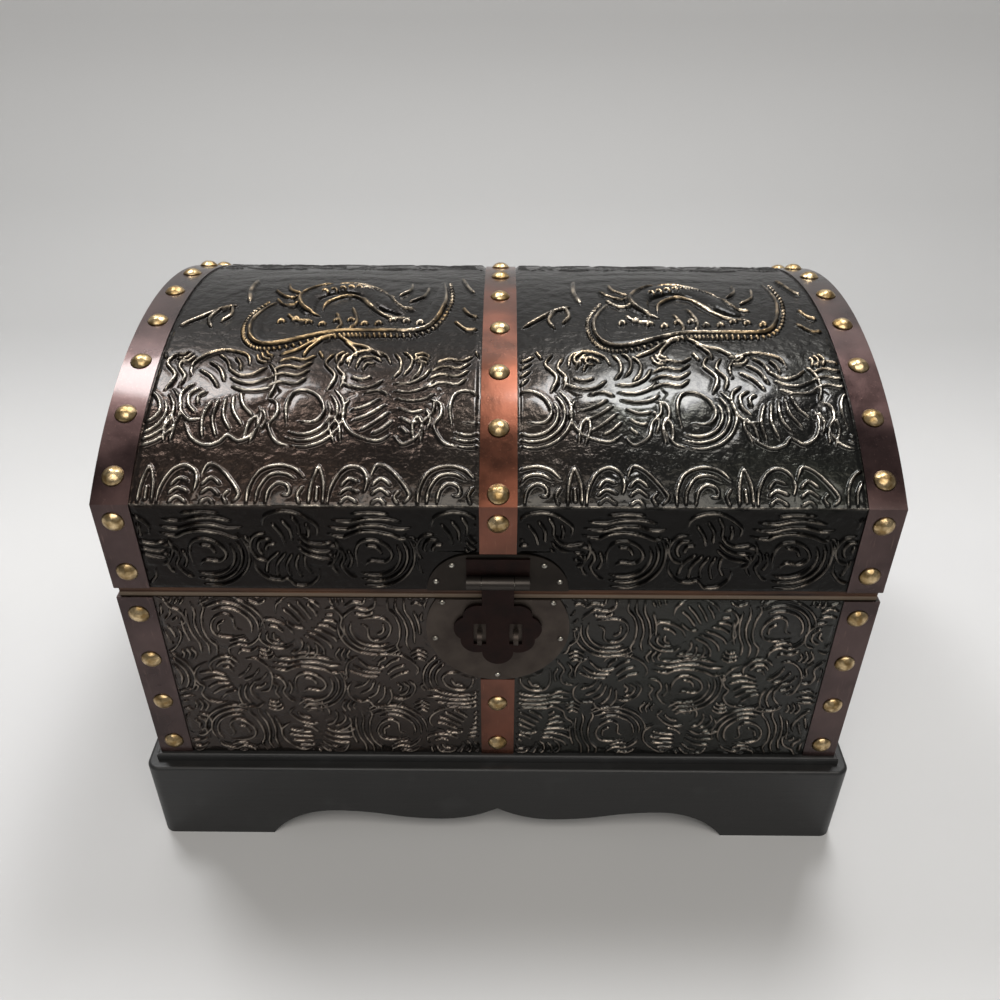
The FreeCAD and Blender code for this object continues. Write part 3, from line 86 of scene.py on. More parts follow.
def blank(name):
    """New material, its empty tree and the object coordinates that its patterns read."""
    made = bpy.data.materials.new(name)
    made.use_nodes = True
    made.node_tree.nodes.clear()
    return made, made.node_tree, node(made.node_tree, "ShaderNodeTexCoord", out="Object")


def noise(tree, where, size, detail):
    """Noise with features of a size in millimetres."""
    return node(tree, "ShaderNodeTexNoise", {"Vector": where, "Scale": 1000 / size, "Detail": detail})


def ramp(tree, value, low, high, first=0.0, last=1.0):
    """A value that runs from first to last while another goes from low to high."""
    return node(tree, "ShaderNodeMapRange", {
        "Value": value, "From Min": low, "From Max": high, "To Min": first, "To Max": last})


def mix(tree, share, first, second):
    """Colour that goes from the first to the second with a share."""
    return node(tree, "ShaderNodeMix", {0: share, 6: first, 7: second}, 2, data_type="RGBA")


def bump(tree, height, depth, under=None):
    """Fine bumps of a depth in metres, over others if given."""
    inputs = {"Height": height, "Distance": depth}
    return node(tree, "ShaderNodeBump", inputs if under is None else {**inputs, "Normal": under})


def surface(tree, inputs):
    """The material's one surface, which ends its tree."""
    made = node(tree, "ShaderNodeBsdfPrincipled", inputs)
    node(tree, "ShaderNodeOutputMaterial", {"Surface": made})


def dress(made, *names):
    """Give CAD nodes a material."""
    for name in names:
        nodes[name].data.materials.clear()
        nodes[name].data.materials.append(made)


# Sprayed paint over sanded softwood: satin, nearly black, with a faint grain of 3 mm and a grey bloom.
black_paint, tree, where = blank("satin black paint on softwood")
drawn = node(tree, "ShaderNodeMapping", {"Vector": where, "Scale": (1 / 14, 1.0, 1.0)})
grain = noise(tree, drawn, 3, 4.0)
bloom = noise(tree, where, 60, 3.0)
speck = noise(tree, where, 1.2, 2.0)
rub = noise(tree, where, 18, 5.0)
share = ramp(tree, bloom, 0.35, 0.65)
shade = mix(tree, share, "#1b1b1b", "#222222")
share = ramp(tree, rub, 0.58, 0.80, last=0.35)
shade = mix(tree, share, shade, "#3a3b3b")
gloss = ramp(tree, bloom, 0.3, 0.7, 0.38, 0.52)
bumps = bump(tree, grain, 0.00010)
bumps = bump(tree, speck, 0.00005, bumps)
surface(tree, {"Base Color": shade, "Roughness": gloss, "Specular IOR Level": 0.45, "Normal": bumps})
dress(
    black_paint,
    "plinth_front_apron", "plinth_back_apron", "plinth_left_apron", "plinth_right_apron", "base_board")

# The box and lid are thin softwood boards, stained, butted and glued, with blocks glued into the corners of
# the plinth. Only rims show at the seam while the lid is down, and the insides when it is up.
RIM_LOW, RIM_HIGH, RIM_FADE = 0.1765, 0.1795, 0.0005

# Brown stain over softwood: growth rings 5 mm apart drawn out along the boards, open pores, and a painted
# highlight, a pale band along the rim of the box.
stained_wood, tree, where = blank("dark stained softwood")
drawn = node(tree, "ShaderNodeMapping", {"Vector": where, "Scale": (1 / 16, 1.0, 1.0)})
rings = noise(tree, drawn, 5, 5.0)
pores = noise(tree, drawn, 0.9, 2.0)
share = ramp(tree, rings, 0.35, 0.70)
shade = mix(tree, share, "#2a1a12", "#54351f")
height = node(tree, "ShaderNodeSeparateXYZ", {"Vector": where}, "Z")
# Painted highlight: the band along the rim of the box is made pale.
share = ramp(tree, height, RIM_HIGH, RIM_HIGH - RIM_FADE)
above = ramp(tree, height, RIM_LOW, RIM_LOW + RIM_FADE, last=0.8)
share = node(tree, "ShaderNodeMath", {0: share, 1: above}, operation="MULTIPLY")
shade = mix(tree, share, shade, "#6e6153")
gloss = ramp(tree, pores, 0.3, 0.7, 0.55, 0.75)
bumps = bump(tree, rings, 0.00012)
bumps = bump(tree, pores, 0.00008, bumps)
surface(tree, {"Base Color": shade, "Roughness": gloss, "Specular IOR Level": 0.35, "Normal": bumps})
dress(
    stained_wood, "plinth_corner_blocks",
    "box_front_board", "box_back_board", "box_left_board", "box_right_board",
    "lid_front_rail", "lid_back_rail", "lid_left_end", "lid_right_end", "lid_dome_board")

# The embossed sheets are thin brass pressed with peony scrolls, blackened, rubbed bright on the raised lines
# and lacquered, then wrapped round the boards. Each is a field of heights over its flat blank, in mm.
SHEET = 0.8
# A raised line's half width and height, how thin its ends get, and the reach and depth of its grooves.
RIDGE, RIB, THIN_END = 0.95, 1.15, 0.45
GROOVE, GROOVE_DEPTH = 1.4, 0.7
# A motif's rise at its middle, its fall towards its rim, its least rise and the width of its sloping edge.
RISE, FALL, LEAST_RISE, SLOPE = 1.0, 0.8, 0.1, 1.6
# Steps of the grid on the front, on the dome, on the other sides and under the straps.
FINE, MEDIUM, COARSE, HIDDEN = 0.5, 0.56, 0.9, 3.0


class Relief:
    """Heights over a grid of a sheet's blank: low swells under the motifs, and the ridges drawn on them."""

    def __init__(self, across, up):
        self.across = across
        self.up = up if up.ndim == 2 else np.repeat(up[:, None], len(across), 1)
        self.swell = np.zeros(self.up.shape)
        self.ridges = np.zeros(self.up.shape)
        self.tint_share = np.zeros(self.up.shape)
        self.low = self.up.min(1)
        self.high = self.up.max(1)

    def window(self, x, y, reach):
        """Rows and columns round a point, and the distances of their places from it."""
        cols = slice(*np.searchsorted(self.across, (x - reach, x + reach)))
        rows = slice(int(np.searchsorted(self.high, y - reach)), int(np.searchsorted(self.low, y + reach)))
        return rows, cols, self.across[cols][None, :] - x, self.up[rows, cols] - y

    def crown(self, rows, cols, inside, middle, half):
        """Raise the swell over a part of a motif, highest at the motif's middle; inside is the way in from
        its edge."""
        away = np.hypot(self.across[cols][None, :] - middle[0], self.up[rows, cols] - middle[1]) / half
        lift = np.clip(RISE - FALL * away ** 2, LEAST_RISE, None) * np.clip(inside / SLOPE, 0, 1)
        self.swell[rows, cols] = np.maximum(self.swell[rows, cols], lift)

    def disc(self, x, y, size, middle, half):
        """Swell alone, over a round part of a motif."""
        rows, cols, dx, dy = self.window(x, y, size)
        if dx.size and dy.size:
            self.crown(rows, cols, size - np.hypot(dx, dy), middle, half)

    def stroke(self, points, radius=RIDGE, height=RIB, swell=False, full=1.0):
        """Raised line through points, rounded in section and drawn out thin at both ends; a full below 1
        makes its sides steeper."""
        layer = self.swell if swell else self.ridges
        count = len(points) - 1
        for i, (p, q) in enumerate(zip(points[:-1], points[1:])):
            span = np.subtract(q, p)
            length = float(np.hypot(*span)) or 1e-6
            reach = length / 2 + radius + 0.7
            rows, cols, dx, dy = self.window((p[0] + q[0]) / 2, (p[1] + q[1]) / 2, reach)
            if not dx.size or not dy.size:
                continue
            x = dx + span[0] / 2
            y = dy + span[1] / 2
            share = np.clip((x * span[0] + y * span[1]) / length ** 2, 0, 1)
            away = np.hypot(x - share * span[0], y - share * span[1])
            place = (i + share) / count
            slim = np.clip(THIN_END + 4 * np.minimum(place, 1 - place), 0, 1)
            lift = height * slim * np.clip(1 - (away / (radius * slim)) ** 2, 0, 1) ** full
            layer[rows, cols] = np.maximum(layer[rows, cols], lift)

    def finish(self, inside, fade=2.0):
        """Groove the sheet beside its ridges, and press it flat where inside, a distance in millimetres, is
        below zero, with a soft shoulder."""
        step = np.diff(self.across).min()
        reach = max(1, round(GROOVE / step))
        hollow = self.ridges
        for axis in (0, 1, 0, 1):
            margins = [(reach + 1, reach) if k == axis else (0, 0) for k in (0, 1)]
            wide = np.cumsum(np.pad(hollow, margins), axis)
            ends = 2 * reach + 1
            hollow = (np.take(wide, range(ends, wide.shape[axis]), axis)
                      - np.take(wide, range(wide.shape[axis] - ends), axis)) / ends
        keep = np.clip(inside / fade, 0, 1)
        self.swell *= keep
        self.ridges = (self.ridges + GROOVE_DEPTH * (self.ridges - hollow)) * keep


def smooth_line(points, steps=7):
    """Curve through points."""
    points = np.array([points[0], *points, points[-1]], float)
    made = []
    for a, b, c, d in zip(points[:-3], points[1:-2], points[2:-1], points[3:]):
        for t in np.linspace(0, 1, steps, endpoint=False):
            made.append(0.5 * (2 * b + (c - a) * t + (2 * a - 5 * b + 4 * c - d) * t * t
                               + (3 * b - a - 3 * c + d) * t ** 3))
    return np.array(made + [points[-2]])


def bow(x, y, radius, start, stop):
    """Points of an arc, with angles in degrees."""
    angles = np.radians(np.linspace(start, stop, 7))
    return [(x + radius * math.cos(a), y + radius * math.sin(a)) for a in angles]


# Motifs in units of half their height: discs that swell, and lines drawn as ridges.
flower = {
    "discs": [(-0.42, 0.45, 0.5), (-0.35, -0.45, 0.5), (0.5, 0.3, 0.5), (0.5, -0.4, 0.5), (0.0, 0.0, 0.5)],
    "lines": [
        [(-0.79, 0.60), (-0.72, 0.88), (-0.38, 0.99), (-0.05, 0.86), (0.06, 0.66)],
        [(-0.64, 0.56), (-0.56, 0.78), (-0.33, 0.83), (-0.13, 0.72)],
        [(-0.50, 0.52), (-0.42, 0.66), (-0.26, 0.67)],
        [(-0.84, 0.48), (-0.86, 0.24), (-0.52, 0.12), (-0.24, 0.16), (-0.06, 0.30)],
        [(-0.70, 0.36), (-0.50, 0.30), (-0.30, 0.36)], [(-0.06, -0.10), (-0.38, -0.26), (-0.62, -0.32)],
        [(-0.70, -0.10), (-0.80, -0.40), (-0.64, -0.70), (-0.36, -0.84), (-0.04, -0.88), (0.18, -0.76)],
        [(0.04, -0.22), (-0.30, -0.42), (-0.58, -0.52)], [(0.12, -0.36), (-0.16, -0.56), (-0.42, -0.70)],
        [(0.20, -0.52), (0.0, -0.68), (-0.18, -0.76)], [(-0.40, 0.0), (-0.14, 0.06), (0.08, -0.02)],
        [(0.12, 0.92), (0.26, 0.74), (0.26, 0.50), (0.14, 0.34)],
        [(0.30, 0.96), (0.48, 0.80), (0.46, 0.56), (0.34, 0.40)],
        [(0.50, 0.90), (0.68, 0.70), (0.64, 0.46), (0.50, 0.30)],
        [(0.16, 0.22), (0.46, 0.22), (0.74, 0.36), (0.88, 0.58)],
        [(0.18, 0.06), (0.50, 0.04), (0.80, 0.14), (0.96, 0.30)],
        [(0.22, -0.10), (0.52, -0.14), (0.80, -0.10), (0.98, 0.02)],
        [(0.98, -0.06), (0.98, -0.34), (0.80, -0.54), (0.70, -0.80), (0.42, -0.94), (0.26, -0.80)],
        [(0.30, -0.28), (0.56, -0.36), (0.80, -0.32)], [(0.34, -0.46), (0.56, -0.56), (0.70, -0.54)],
        [(0.36, -0.64), (0.50, -0.74)]],
}
peony = {
    "discs": [(-0.45, 0.45, 0.5), (-0.4, -0.3, 0.5), (0.1, -0.5, 0.5), (0.5, 0.2, 0.5), (0.0, 0.0, 0.5)],
    "lines": [
        [(-0.60, 0.20), (-0.80, 0.02), (-0.78, -0.30), (-0.56, -0.52), (-0.30, -0.50)],
        [(-0.46, 0.10), (-0.64, -0.02), (-0.62, -0.24), (-0.46, -0.38)],
        [(-0.32, 0.02), (-0.46, -0.06), (-0.44, -0.22)],
        [(-0.62, -0.58), (-0.46, -0.84), (-0.16, -0.98), (0.10, -0.92), (0.24, -0.80), (0.48, -0.90),
         (0.74, -0.76), (0.84, -0.48), (0.78, -0.26)],
        [(-0.18, -0.16), (-0.30, -0.50), (-0.24, -0.84)], [(-0.04, -0.12), (-0.10, -0.50), (0.02, -0.82)],
        [(0.10, -0.08), (0.10, -0.44), (0.28, -0.70)], [(0.24, -0.04), (0.28, -0.34), (0.50, -0.62)],
        [(0.36, 0.02), (0.46, -0.24), (0.68, -0.44)],
        [(0.04, 0.52), (0.26, 0.38), (0.52, 0.40), (0.78, 0.58)],
        [(0.10, 0.32), (0.34, 0.22), (0.60, 0.22), (0.88, 0.34)],
        [(0.16, 0.14), (0.40, 0.06), (0.66, 0.06), (0.94, 0.12)],
        [(0.82, 0.66), (0.98, 0.44), (1.0, 0.14), (0.92, -0.08)],
        [(-0.40, 0.68), (-0.16, 0.52), (-0.02, 0.26)],
        [(-0.56, 0.50), (-0.30, 0.34), (-0.12, 0.12)], [(-0.24, 0.86), (-0.04, 0.70), (0.06, 0.48)],
        [(-0.72, 0.38), (-0.74, 0.64), (-0.50, 0.88), (-0.20, 0.98), (0.10, 0.94), (0.34, 0.84),
         (0.42, 0.62)],
        [(0.10, 0.80), (0.22, 0.66), (0.26, 0.50)]],
}
scroll = {
    "discs": [(0.05, -0.12, 0.85), (0.0, 0.5, 0.55)],
    "lines": [
        [(-0.34, -0.46), (-0.36, -0.06), (-0.24, 0.22), (0.04, 0.28), (0.32, 0.12), (0.42, -0.14),
         (0.26, -0.32), (-0.06, -0.30), (-0.18, -0.44)],
        [(-0.12, 0.12), (0.10, 0.08), (0.20, -0.10)], bow(0.0, -0.12, 0.60, 25, -118),
        bow(0.0, -0.12, 0.76, 32, -112), bow(0.0, -0.12, 0.92, 36, -104),
        [(-0.98, 0.10), (-0.72, 0.04), (-0.62, -0.20), (-0.70, -0.44), (-0.54, -0.72), (-0.40, -0.80)],
        [(-0.98, -0.12), (-0.84, -0.24), (-0.90, -0.46), (-0.78, -0.70)],
        [(-0.52, -0.02), (-0.46, -0.28), (-0.54, -0.50)],
        [(-0.94, 0.42), (-0.60, 0.34), (-0.34, 0.46), (0.0, 0.50), (0.40, 0.42), (0.66, 0.30), (0.90, 0.34)],
        [(-0.90, 0.60), (-0.54, 0.54), (-0.20, 0.64), (0.20, 0.66), (0.56, 0.56), (0.86, 0.58)],
        [(-0.82, 0.78), (-0.46, 0.74), (-0.10, 0.82), (0.30, 0.82), (0.66, 0.74)],
        [(-0.40, 0.94), (0.0, 0.98), (0.40, 0.94)],
        [(0.88, 0.34), (0.98, 0.18), (0.90, 0.08)]],
}
twin_petal = {
    "discs": [(-0.95, -0.2, 1.0), (0.75, -0.2, 1.05)],
    "lines": [
        [(-1.85, -1.0), (-1.75, -0.2), (-1.35, 0.6), (-0.8, 0.9), (-0.3, 0.65), (-0.12, 0.1), (-0.22, -0.4)],
        [(0.0, 0.35), (0.3, 0.95), (0.8, 0.78), (1.4, 0.15), (1.8, -0.5), (1.55, -0.85)],
        [(-1.3, -0.1), (-0.95, 0.28), (-0.5, 0.1)], [(-1.35, -0.48), (-0.95, -0.18), (-0.45, -0.4)],
        [(-1.3, -0.88), (-0.95, -0.6), (-0.5, -0.88)], [(0.1, -0.08), (0.5, 0.28), (0.95, -0.05)],
        [(0.1, -0.5), (0.5, -0.22), (0.95, -0.55)], [(0.1, -0.9), (0.45, -0.7), (0.75, -0.95)],
        [(1.35, -0.3), (1.12, -0.6), (1.3, -0.9)]],
}
arch = {
    "discs": [(-0.1, -0.3, 1.2)],
    "lines": [
        [(-1.35, -1.0), (-1.3, -0.2), (-0.9, 0.6), (-0.1, 0.92), (0.65, 0.76), (1.15, 0.3)],
        [(-0.95, -0.88), (-0.85, -0.2), (-0.4, 0.42), (0.25, 0.5), (0.76, 0.24)],
        [(-0.5, -0.9), (-0.38, -0.3), (0.02, 0.05), (0.45, -0.1), (0.5, -0.48), (0.2, -0.52)],
        [(1.02, -0.9), (0.9, -0.5), (1.12, -0.1)], [(1.75, 0.95), (1.5, 0.1), (1.42, -0.9)],
        [(1.75, 0.95), (2.02, 0.1), (2.06, -0.9)], [(1.75, -0.1), (1.76, -0.8)]],
}
tall_scroll = {
    "discs": [(0.05, -0.34, 0.6), (0.0, 0.4, 0.55)],
    "lines": [
        [(-0.20, -0.62), (-0.24, -0.26), (-0.16, 0.0), (0.04, 0.06), (0.26, -0.08), (0.36, -0.34),
         (0.24, -0.54), (-0.02, -0.54)],
        bow(0.04, -0.36, 0.42, 30, -118), bow(0.04, -0.36, 0.53, 40, -116), bow(0.04, -0.36, 0.64, 46, -108),
        [(-0.56, -0.10), (-0.40, -0.20), (-0.38, -0.42), (-0.48, -0.62), (-0.34, -0.90), (-0.12, -0.98)],
        [(-0.62, -0.30), (-0.54, -0.50), (-0.60, -0.70)],
        [(-0.62, 0.14), (-0.40, 0.24), (-0.14, 0.20), (0.0, 0.34)],
        [(-0.62, 0.32), (-0.40, 0.42), (-0.14, 0.38), (0.04, 0.52)],
        [(-0.58, 0.50), (-0.36, 0.60), (-0.12, 0.56), (0.06, 0.70)],
        [(-0.50, 0.70), (-0.30, 0.78), (-0.08, 0.74), (0.10, 0.86)],
        [(0.40, 0.92), (0.28, 0.66), (0.46, 0.38), (0.36, 0.06)],
        [(0.58, 0.84), (0.48, 0.60), (0.62, 0.36), (0.56, 0.14)], [(0.14, 0.96), (0.22, 0.80)]],
}
tendril = {
    "discs": [],
    "lines": [
        [(-0.9, 0.3), (0.0, 0.7), (0.9, 0.2)], [(-0.8, -0.2), (0.0, 0.1), (0.8, -0.3)],
        [(-0.5, -0.7), (0.0, -0.5), (0.6, -0.8)]],
}
leaf = {
    "discs": [],
    "lines": [[(0.0, 1.0), (-0.28, 0.3), (-0.16, -0.9)], [(0.0, 1.0), (0.3, 0.2), (0.22, -0.9)]],
}


def draw(field, motif, x, y, size, turn=0.0, hand=1, bold=1.0, slim=1.0):
    """Press a motif, turned, mirrored if hand is -1, and narrowed if slim is below 1."""
    c, s = math.cos(math.radians(turn)), math.sin(math.radians(turn))

    def at(points):
        return [
            (x + size * (hand * slim * u * c - v * s), y + size * (hand * slim * u * s + v * c))
            for u, v in points]

    for u, v, radius in motif["discs"]:
        field.disc(*at([(u, v)])[0], size * radius, (x, y), size)
    for points in motif["lines"]:
        field.stroke(smooth_line(at(points)), RIDGE * bold, RIB * bold)


# Long and short waves of thin sheet: how many, their least and greatest length, and their depth.
WAVES = ((10, 14, 46, 0.03), (6, 6, 11, 0.014))


def ripples(field, seed):
    """Slight waviness of thin sheet."""
    ripple = np.random.default_rng(seed)
    for count, shortest, longest, depth in WAVES:
        for _ in range(count):
            wave, phase = ripple.uniform(shortest, longest), ripple.uniform(0, 6.3)
            tilt = ripple.uniform(0, math.pi)
            run = (field.across[None, :] * math.cos(tilt) + field.up * math.sin(tilt)) * 2 * math.pi / wave
            field.swell += depth * (1 + np.sin(run + phase))


# Motifs stand a pitch apart to both sides of the middle strap; on flat sides their lines are lighter.
MOTIF_START, MOTIF_PITCH, MOTIFS_ACROSS, MOTIF_GAP = 20.5, 40, 5, 2
BOX_BOLD, SCROLL_SHARE, FLOWER_SHARE = 0.9, 1.14, 1.16
TENDRIL_HALF = 5.0


def press_rows(field, columns, low, pitch, rows, half):
    """Rows of flowers and scrolls over a flat side, with tendrils where four of them meet."""
    for row in range(rows):
        y = low + (row + 0.5) * pitch
        for rank, x in columns:
            corner = x + math.copysign(MOTIF_START, x)
            draw(field, tendril, corner, y + pitch / 2, TENDRIL_HALF, 90 * rank, 1, BOX_BOLD)
        for rank, x in columns:
            hand = 1 if (row + 2 * rank) % 3 else -1
            if (row + rank) % 2:
                turn = 90 * (row + 1) + 160 * (rank // 2) + 9 * rank
                draw(field, scroll, x, y, half * SCROLL_SHARE, turn, hand, BOX_BOLD)
            else:
                turn = 90 * (row + 2) + 75 * (rank % 3)
                draw(field, (flower, peony)[row % 2], x, y, half * FLOWER_SHARE, turn, hand, BOX_BOLD)


# Blackened brass under lacquer: grooves near black with brown and green casts, and with painted shade round
# the crown; ridges rubbed to pale bronze in patches of 10 mm, paler up the lid as a painted highlight, golden
# round the crown; and the sheet darker on the skirts and behind the crown.
# Heights in metres between which lines get paler as a painted highlight, and, round the crown, grooves darken
# as painted shade and gold and bare metal set in.
HIGHLIGHT_LINES, SHADED_GROOVES = (0.17, 0.25), (0.258, 0.274)
GOLDEN_LINES, BARE_METAL = (0.266, 0.273), (0.262, 0.272)
patina, tree, where = blank("blackened and rubbed embossed brass")
lift = node(tree, "ShaderNodeAttribute", attribute_name="relief", out="Fac")
fleck = noise(tree, where, 2.2, 4.0)
drift = noise(tree, where, 70, 2.0)
tinge = noise(tree, where, 110, 1.0)
# How far a line is rubbed: its height, broken by flecks of 2.2 mm and by patches that hands reach.
worn = node(tree, "ShaderNodeMath", {0: fleck, 1: 0.6, 2: -0.3}, operation="MULTIPLY_ADD")
worn = node(tree, "ShaderNodeMath", {0: lift, 1: worn}, operation="ADD")
worn = node(tree, "ShaderNodeMapRange", {
    "Value": worn, "From Min": 0.50, "From Max": 1.15}, interpolation_type="SMOOTHSTEP")
handled = noise(tree, where, 10, 4.0)
handled = ramp(tree, handled, 0.40, 0.60, 0.14)
worn = node(tree, "ShaderNodeMath", {0: worn, 1: handled}, operation="MULTIPLY")
# Grooves: greenish to the right, brown to the left, near black close to the lines, and made near black round
# the crown as painted shade.
sideways = node(tree, "ShaderNodeSeparateXYZ", {"Vector": where}, "X")
warm = node(tree, "ShaderNodeMath", {0: tinge, 1: 0.25, 2: sideways}, operation="MULTIPLY_ADD")
warm = ramp(tree, warm, 0.20, 0.06)
share = ramp(tree, drift, 0.40, 0.62)
groove = mix(tree, share, "#232220", "#262723")
groove = mix(tree, warm, groove, "#302722")
upwards = node(tree, "ShaderNodeSeparateXYZ", {"Vector": where}, "Z")
# Painted shade: the grooves are made almost black near the crown.
share = ramp(tree, upwards, *SHADED_GROOVES, last=0.9)
groove = mix(tree, share, groove, "#141312")
share = ramp(tree, lift, -0.05, -0.30)
groove = mix(tree, share, groove, "#0d0c0b")
# Rubbed lines: dull on the box, paler on the lid (a painted highlight), golden in patches round the crown.
share = ramp(tree, upwards, *HIGHLIGHT_LINES)
bright = mix(tree, share, "#897e73", "#b4aca0")
share = ramp(tree, upwards, *GOLDEN_LINES)
patch = ramp(tree, drift, 0.44, 0.58, 0.3)
share = node(tree, "ShaderNodeMath", {0: share, 1: patch}, operation="MULTIPLY")
bright = mix(tree, share, bright, "#9a8362")
shade = mix(tree, worn, groove, bright)
# Darker on the skirts and behind the crown, dimples of 5 mm, and lacquer that is thin where the sheet is
# darker or handled.
dull = node(tree, "ShaderNodeAttribute", attribute_name="tint_share", out="Fac")
keep = node(tree, "ShaderNodeMath", {0: worn, 1: -0.14, 2: 0.84}, operation="MULTIPLY_ADD")
dull = node(tree, "ShaderNodeMath", {0: dull, 1: keep}, operation="MULTIPLY")
shade = mix(tree, dull, shade, "#0d0b0a")
gloss = ramp(tree, drift, 0.3, 0.7, 0.22, 0.32)
dimple = noise(tree, where, 5, 3.0)
bumps = bump(tree, dimple, 0.0009)
bumps = bump(tree, fleck, 0.0001, bumps)
lacquer = ramp(tree, upwards, *BARE_METAL, 0.45, 0.12)
bare = node(tree, "ShaderNodeMath", {0: dull, 1: -0.65, 2: 1.0}, operation="MULTIPLY_ADD")
lacquer = node(tree, "ShaderNodeMath", {0: lacquer, 1: bare}, operation="MULTIPLY")
surface(tree, {
    "Base Color": shade, "Metallic": 1.0, "Roughness": gloss, "Coat Weight": lacquer, "Coat Roughness": 0.12,
    "Normal": bumps})


def press(name, field, outside, inside_left, inside_right, body, cad_node):
    """Closed sheet: its embossed face, its edges and its plain back, from the places of the face's grid."""
    rows, cols = field.up.shape
    number = np.arange(rows * cols).reshape(rows, cols)
    a, b = number[:-1, :-1].ravel(), number[:-1, 1:].ravel()
    c, d = number[1:, 1:].ravel(), number[1:, :-1].ravel()
    faces = np.stack([a, b, c, d], 1).tolist()
    smooth = len(faces)
    left = rows * cols + np.arange(rows)
    right = left + rows
    faces += np.stack([number[:-1, 0], number[1:, 0], left[1:], left[:-1]], 1).tolist()
    faces += np.stack([number[1:, -1], number[:-1, -1], right[:-1], right[1:]], 1).tolist()
    faces += np.stack([left[:-1], left[1:], right[1:], right[:-1]], 1).tolist()
    faces.append([*number[0, ::-1].tolist(), int(left[0]), int(right[0])])
    faces.append([*number[-1].tolist(), int(right[-1]), int(left[-1])])
    mesh = bpy.data.meshes.new(name)
    points = np.concatenate([outside.reshape(-1, 3), inside_left, inside_right]) * 0.001
    mesh.from_pydata(points.tolist(), [], faces)
    mesh.polygons.foreach_set("use_smooth", np.arange(len(faces)) < smooth)
    ends = np.empty(2 * len(mesh.edges), np.int32)
    mesh.edges.foreach_get("vertices", ends)
    row, col = np.divmod(ends.reshape(-1, 2), cols)
    rim = [(line == end).all(1) for line, end in ((row, 0), (row, rows - 1), (col, 0), (col, cols - 1))]
    sharp = mesh.attributes.new("sharp_edge", "BOOLEAN", "EDGE")
    sharp.data.foreach_set("value", np.any(rim, 0) & (row < rows).all(1))
    relief = mesh.attributes.new("relief", "FLOAT", "POINT")
    rubbed = field.ridges / RIB + 0.12 * field.swell
    relief.data.foreach_set("value", np.concatenate([rubbed.ravel(), np.zeros(2 * rows)]).astype(np.float32))
    tint_share = mesh.attributes.new("tint_share", "FLOAT", "POINT")
    dulled = np.concatenate([field.tint_share.ravel(), np.zeros(2 * rows)])
    tint_share.data.foreach_set("value", dulled.astype(np.float32))
    mesh.materials.append(patina)
    mesh.update()
    made = bpy.data.objects.new(name, mesh)
    bpy.context.scene.collection.objects.link(made)
    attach(made, body)
    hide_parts(cad_node)


def flat_sheet(name, field, face, way, body, cad_node):
    """Sheet on a flat side: way is the direction across it, face its distance out along way x up."""
    way = np.array(way, float)
    out = np.cross(way, (0, 0, 1))
    base = field.across[None, :, None] * way + field.up[:, :, None] * np.array((0, 0, 1.0))
    outside = base + (face + field.swell + field.ridges)[:, :, None] * out
    back = base + (face - SHEET) * out
    press(name, field, outside, back[:, 0], back[:, -1], body, cad_node)


def corners(cad_node):
    """Low and high corner of a CAD node in millimetres."""
    return [np.array(corner) * 1000 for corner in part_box(cad_node)]


def span(low, high, step):
    """Places from low to high, about a step apart."""
    return np.linspace(low, high, max(2, round((high - low) / step) + 1))


def bays(left, right, step):
    """Columns of a long sheet: a step apart in its bays, and few of them under the straps."""
    marks = [x for x in (-corner_x, -middle_edge, middle_edge, corner_x) if left < x < right]
    made = [np.array([left])]
    for a, b in zip([left, *marks], [*marks, right]):
        shows = middle_edge < abs(a + b) / 2 < corner_x
        made.append(span(a, b, step if shows else HIDDEN)[1:])
    return np.concatenate(made)


EDGE, HINGE_WIDTH = 1.0, 40.0
BOX_ROWS, END_COLUMNS = 3, 3
box_low, box_high = corners("box_left_sheet")[0][2], corners("box_left_sheet")[1][2]
half_width = corners("box_left_board")[0][0] * -1 + SHEET
half_depth = corners("box_front_board")[0][1] * -1 + SHEET
middle_edge = corners("box_front_middle_strap")[1][0]
corner_x, corner_y = -corners("box_front_left_strap")[1][:2]
row_pitch = (box_high - box_low) / BOX_ROWS
motif_half = row_pitch / 2 - MOTIF_GAP / 2
long_columns = [
    (rank, side * (MOTIF_START + MOTIF_PITCH * rank)) for side in (-1, 1) for rank in range(MOTIFS_ACROSS)]
end_pitch = 2 * corner_y / (2 * END_COLUMNS)
end_columns = [(rank, side * (rank + 0.5) * end_pitch) for side in (-1, 1) for rank in range(END_COLUMNS)]
plate_low, plate_high = corners("latch_lower_plate")
hinge_low, hinge_high = corners("hinge_box_leaves")

box_sheets = (
    ("box_sheet_front_left", (1, 0, 0), -half_width, 0.0, FINE, "box_front_sheet"),
    ("box_sheet_front_right", (1, 0, 0), 0.0, half_width, FINE, "box_front_sheet"),
    ("box_sheet_back", (-1, 0, 0), -half_width, half_width, COARSE, "box_back_sheet"),
    ("box_sheet_left", (0, -1, 0), SHEET - half_depth, half_depth - SHEET, COARSE, "box_left_sheet"),
    ("box_sheet_right", (0, 1, 0), SHEET - half_depth, half_depth - SHEET, COARSE, "box_right_sheet"),
)
for name, way, left, right, step, cad_node in box_sheets:
    long_side = way[0] != 0
    field = Relief((bays if long_side else span)(left, right, step), span(box_low, box_high, step))
    ripples(field, 5)
    press_rows(field, long_columns if long_side else end_columns, box_low, row_pitch, BOX_ROWS, motif_half)
    out_from_middle = np.abs(field.across)[None, :]
    clear = np.minimum(field.up - box_low, box_high - field.up)
    clear = np.minimum(clear, (corner_x if long_side else corner_y) - EDGE - out_from_middle)
    if long_side:
        clear = np.minimum(clear, out_from_middle - middle_edge - EDGE)
    if way[0] > 0:
        away = np.hypot(field.across[None, :], field.up - plate_low[2] - plate_high[0])
        clear = np.minimum(clear, away - plate_high[0] - EDGE)
    if way[0] < 0:
        beside = np.abs(out_from_middle - hinge_high[0] + HINGE_WIDTH / 2) - HINGE_WIDTH / 2
        clear = np.minimum(clear, np.maximum(beside, hinge_low[2] - field.up) - EDGE)
    field.finish(clear)
    flat_sheet(name, field, half_depth if long_side else half_width, way, "trunk", cad_node)

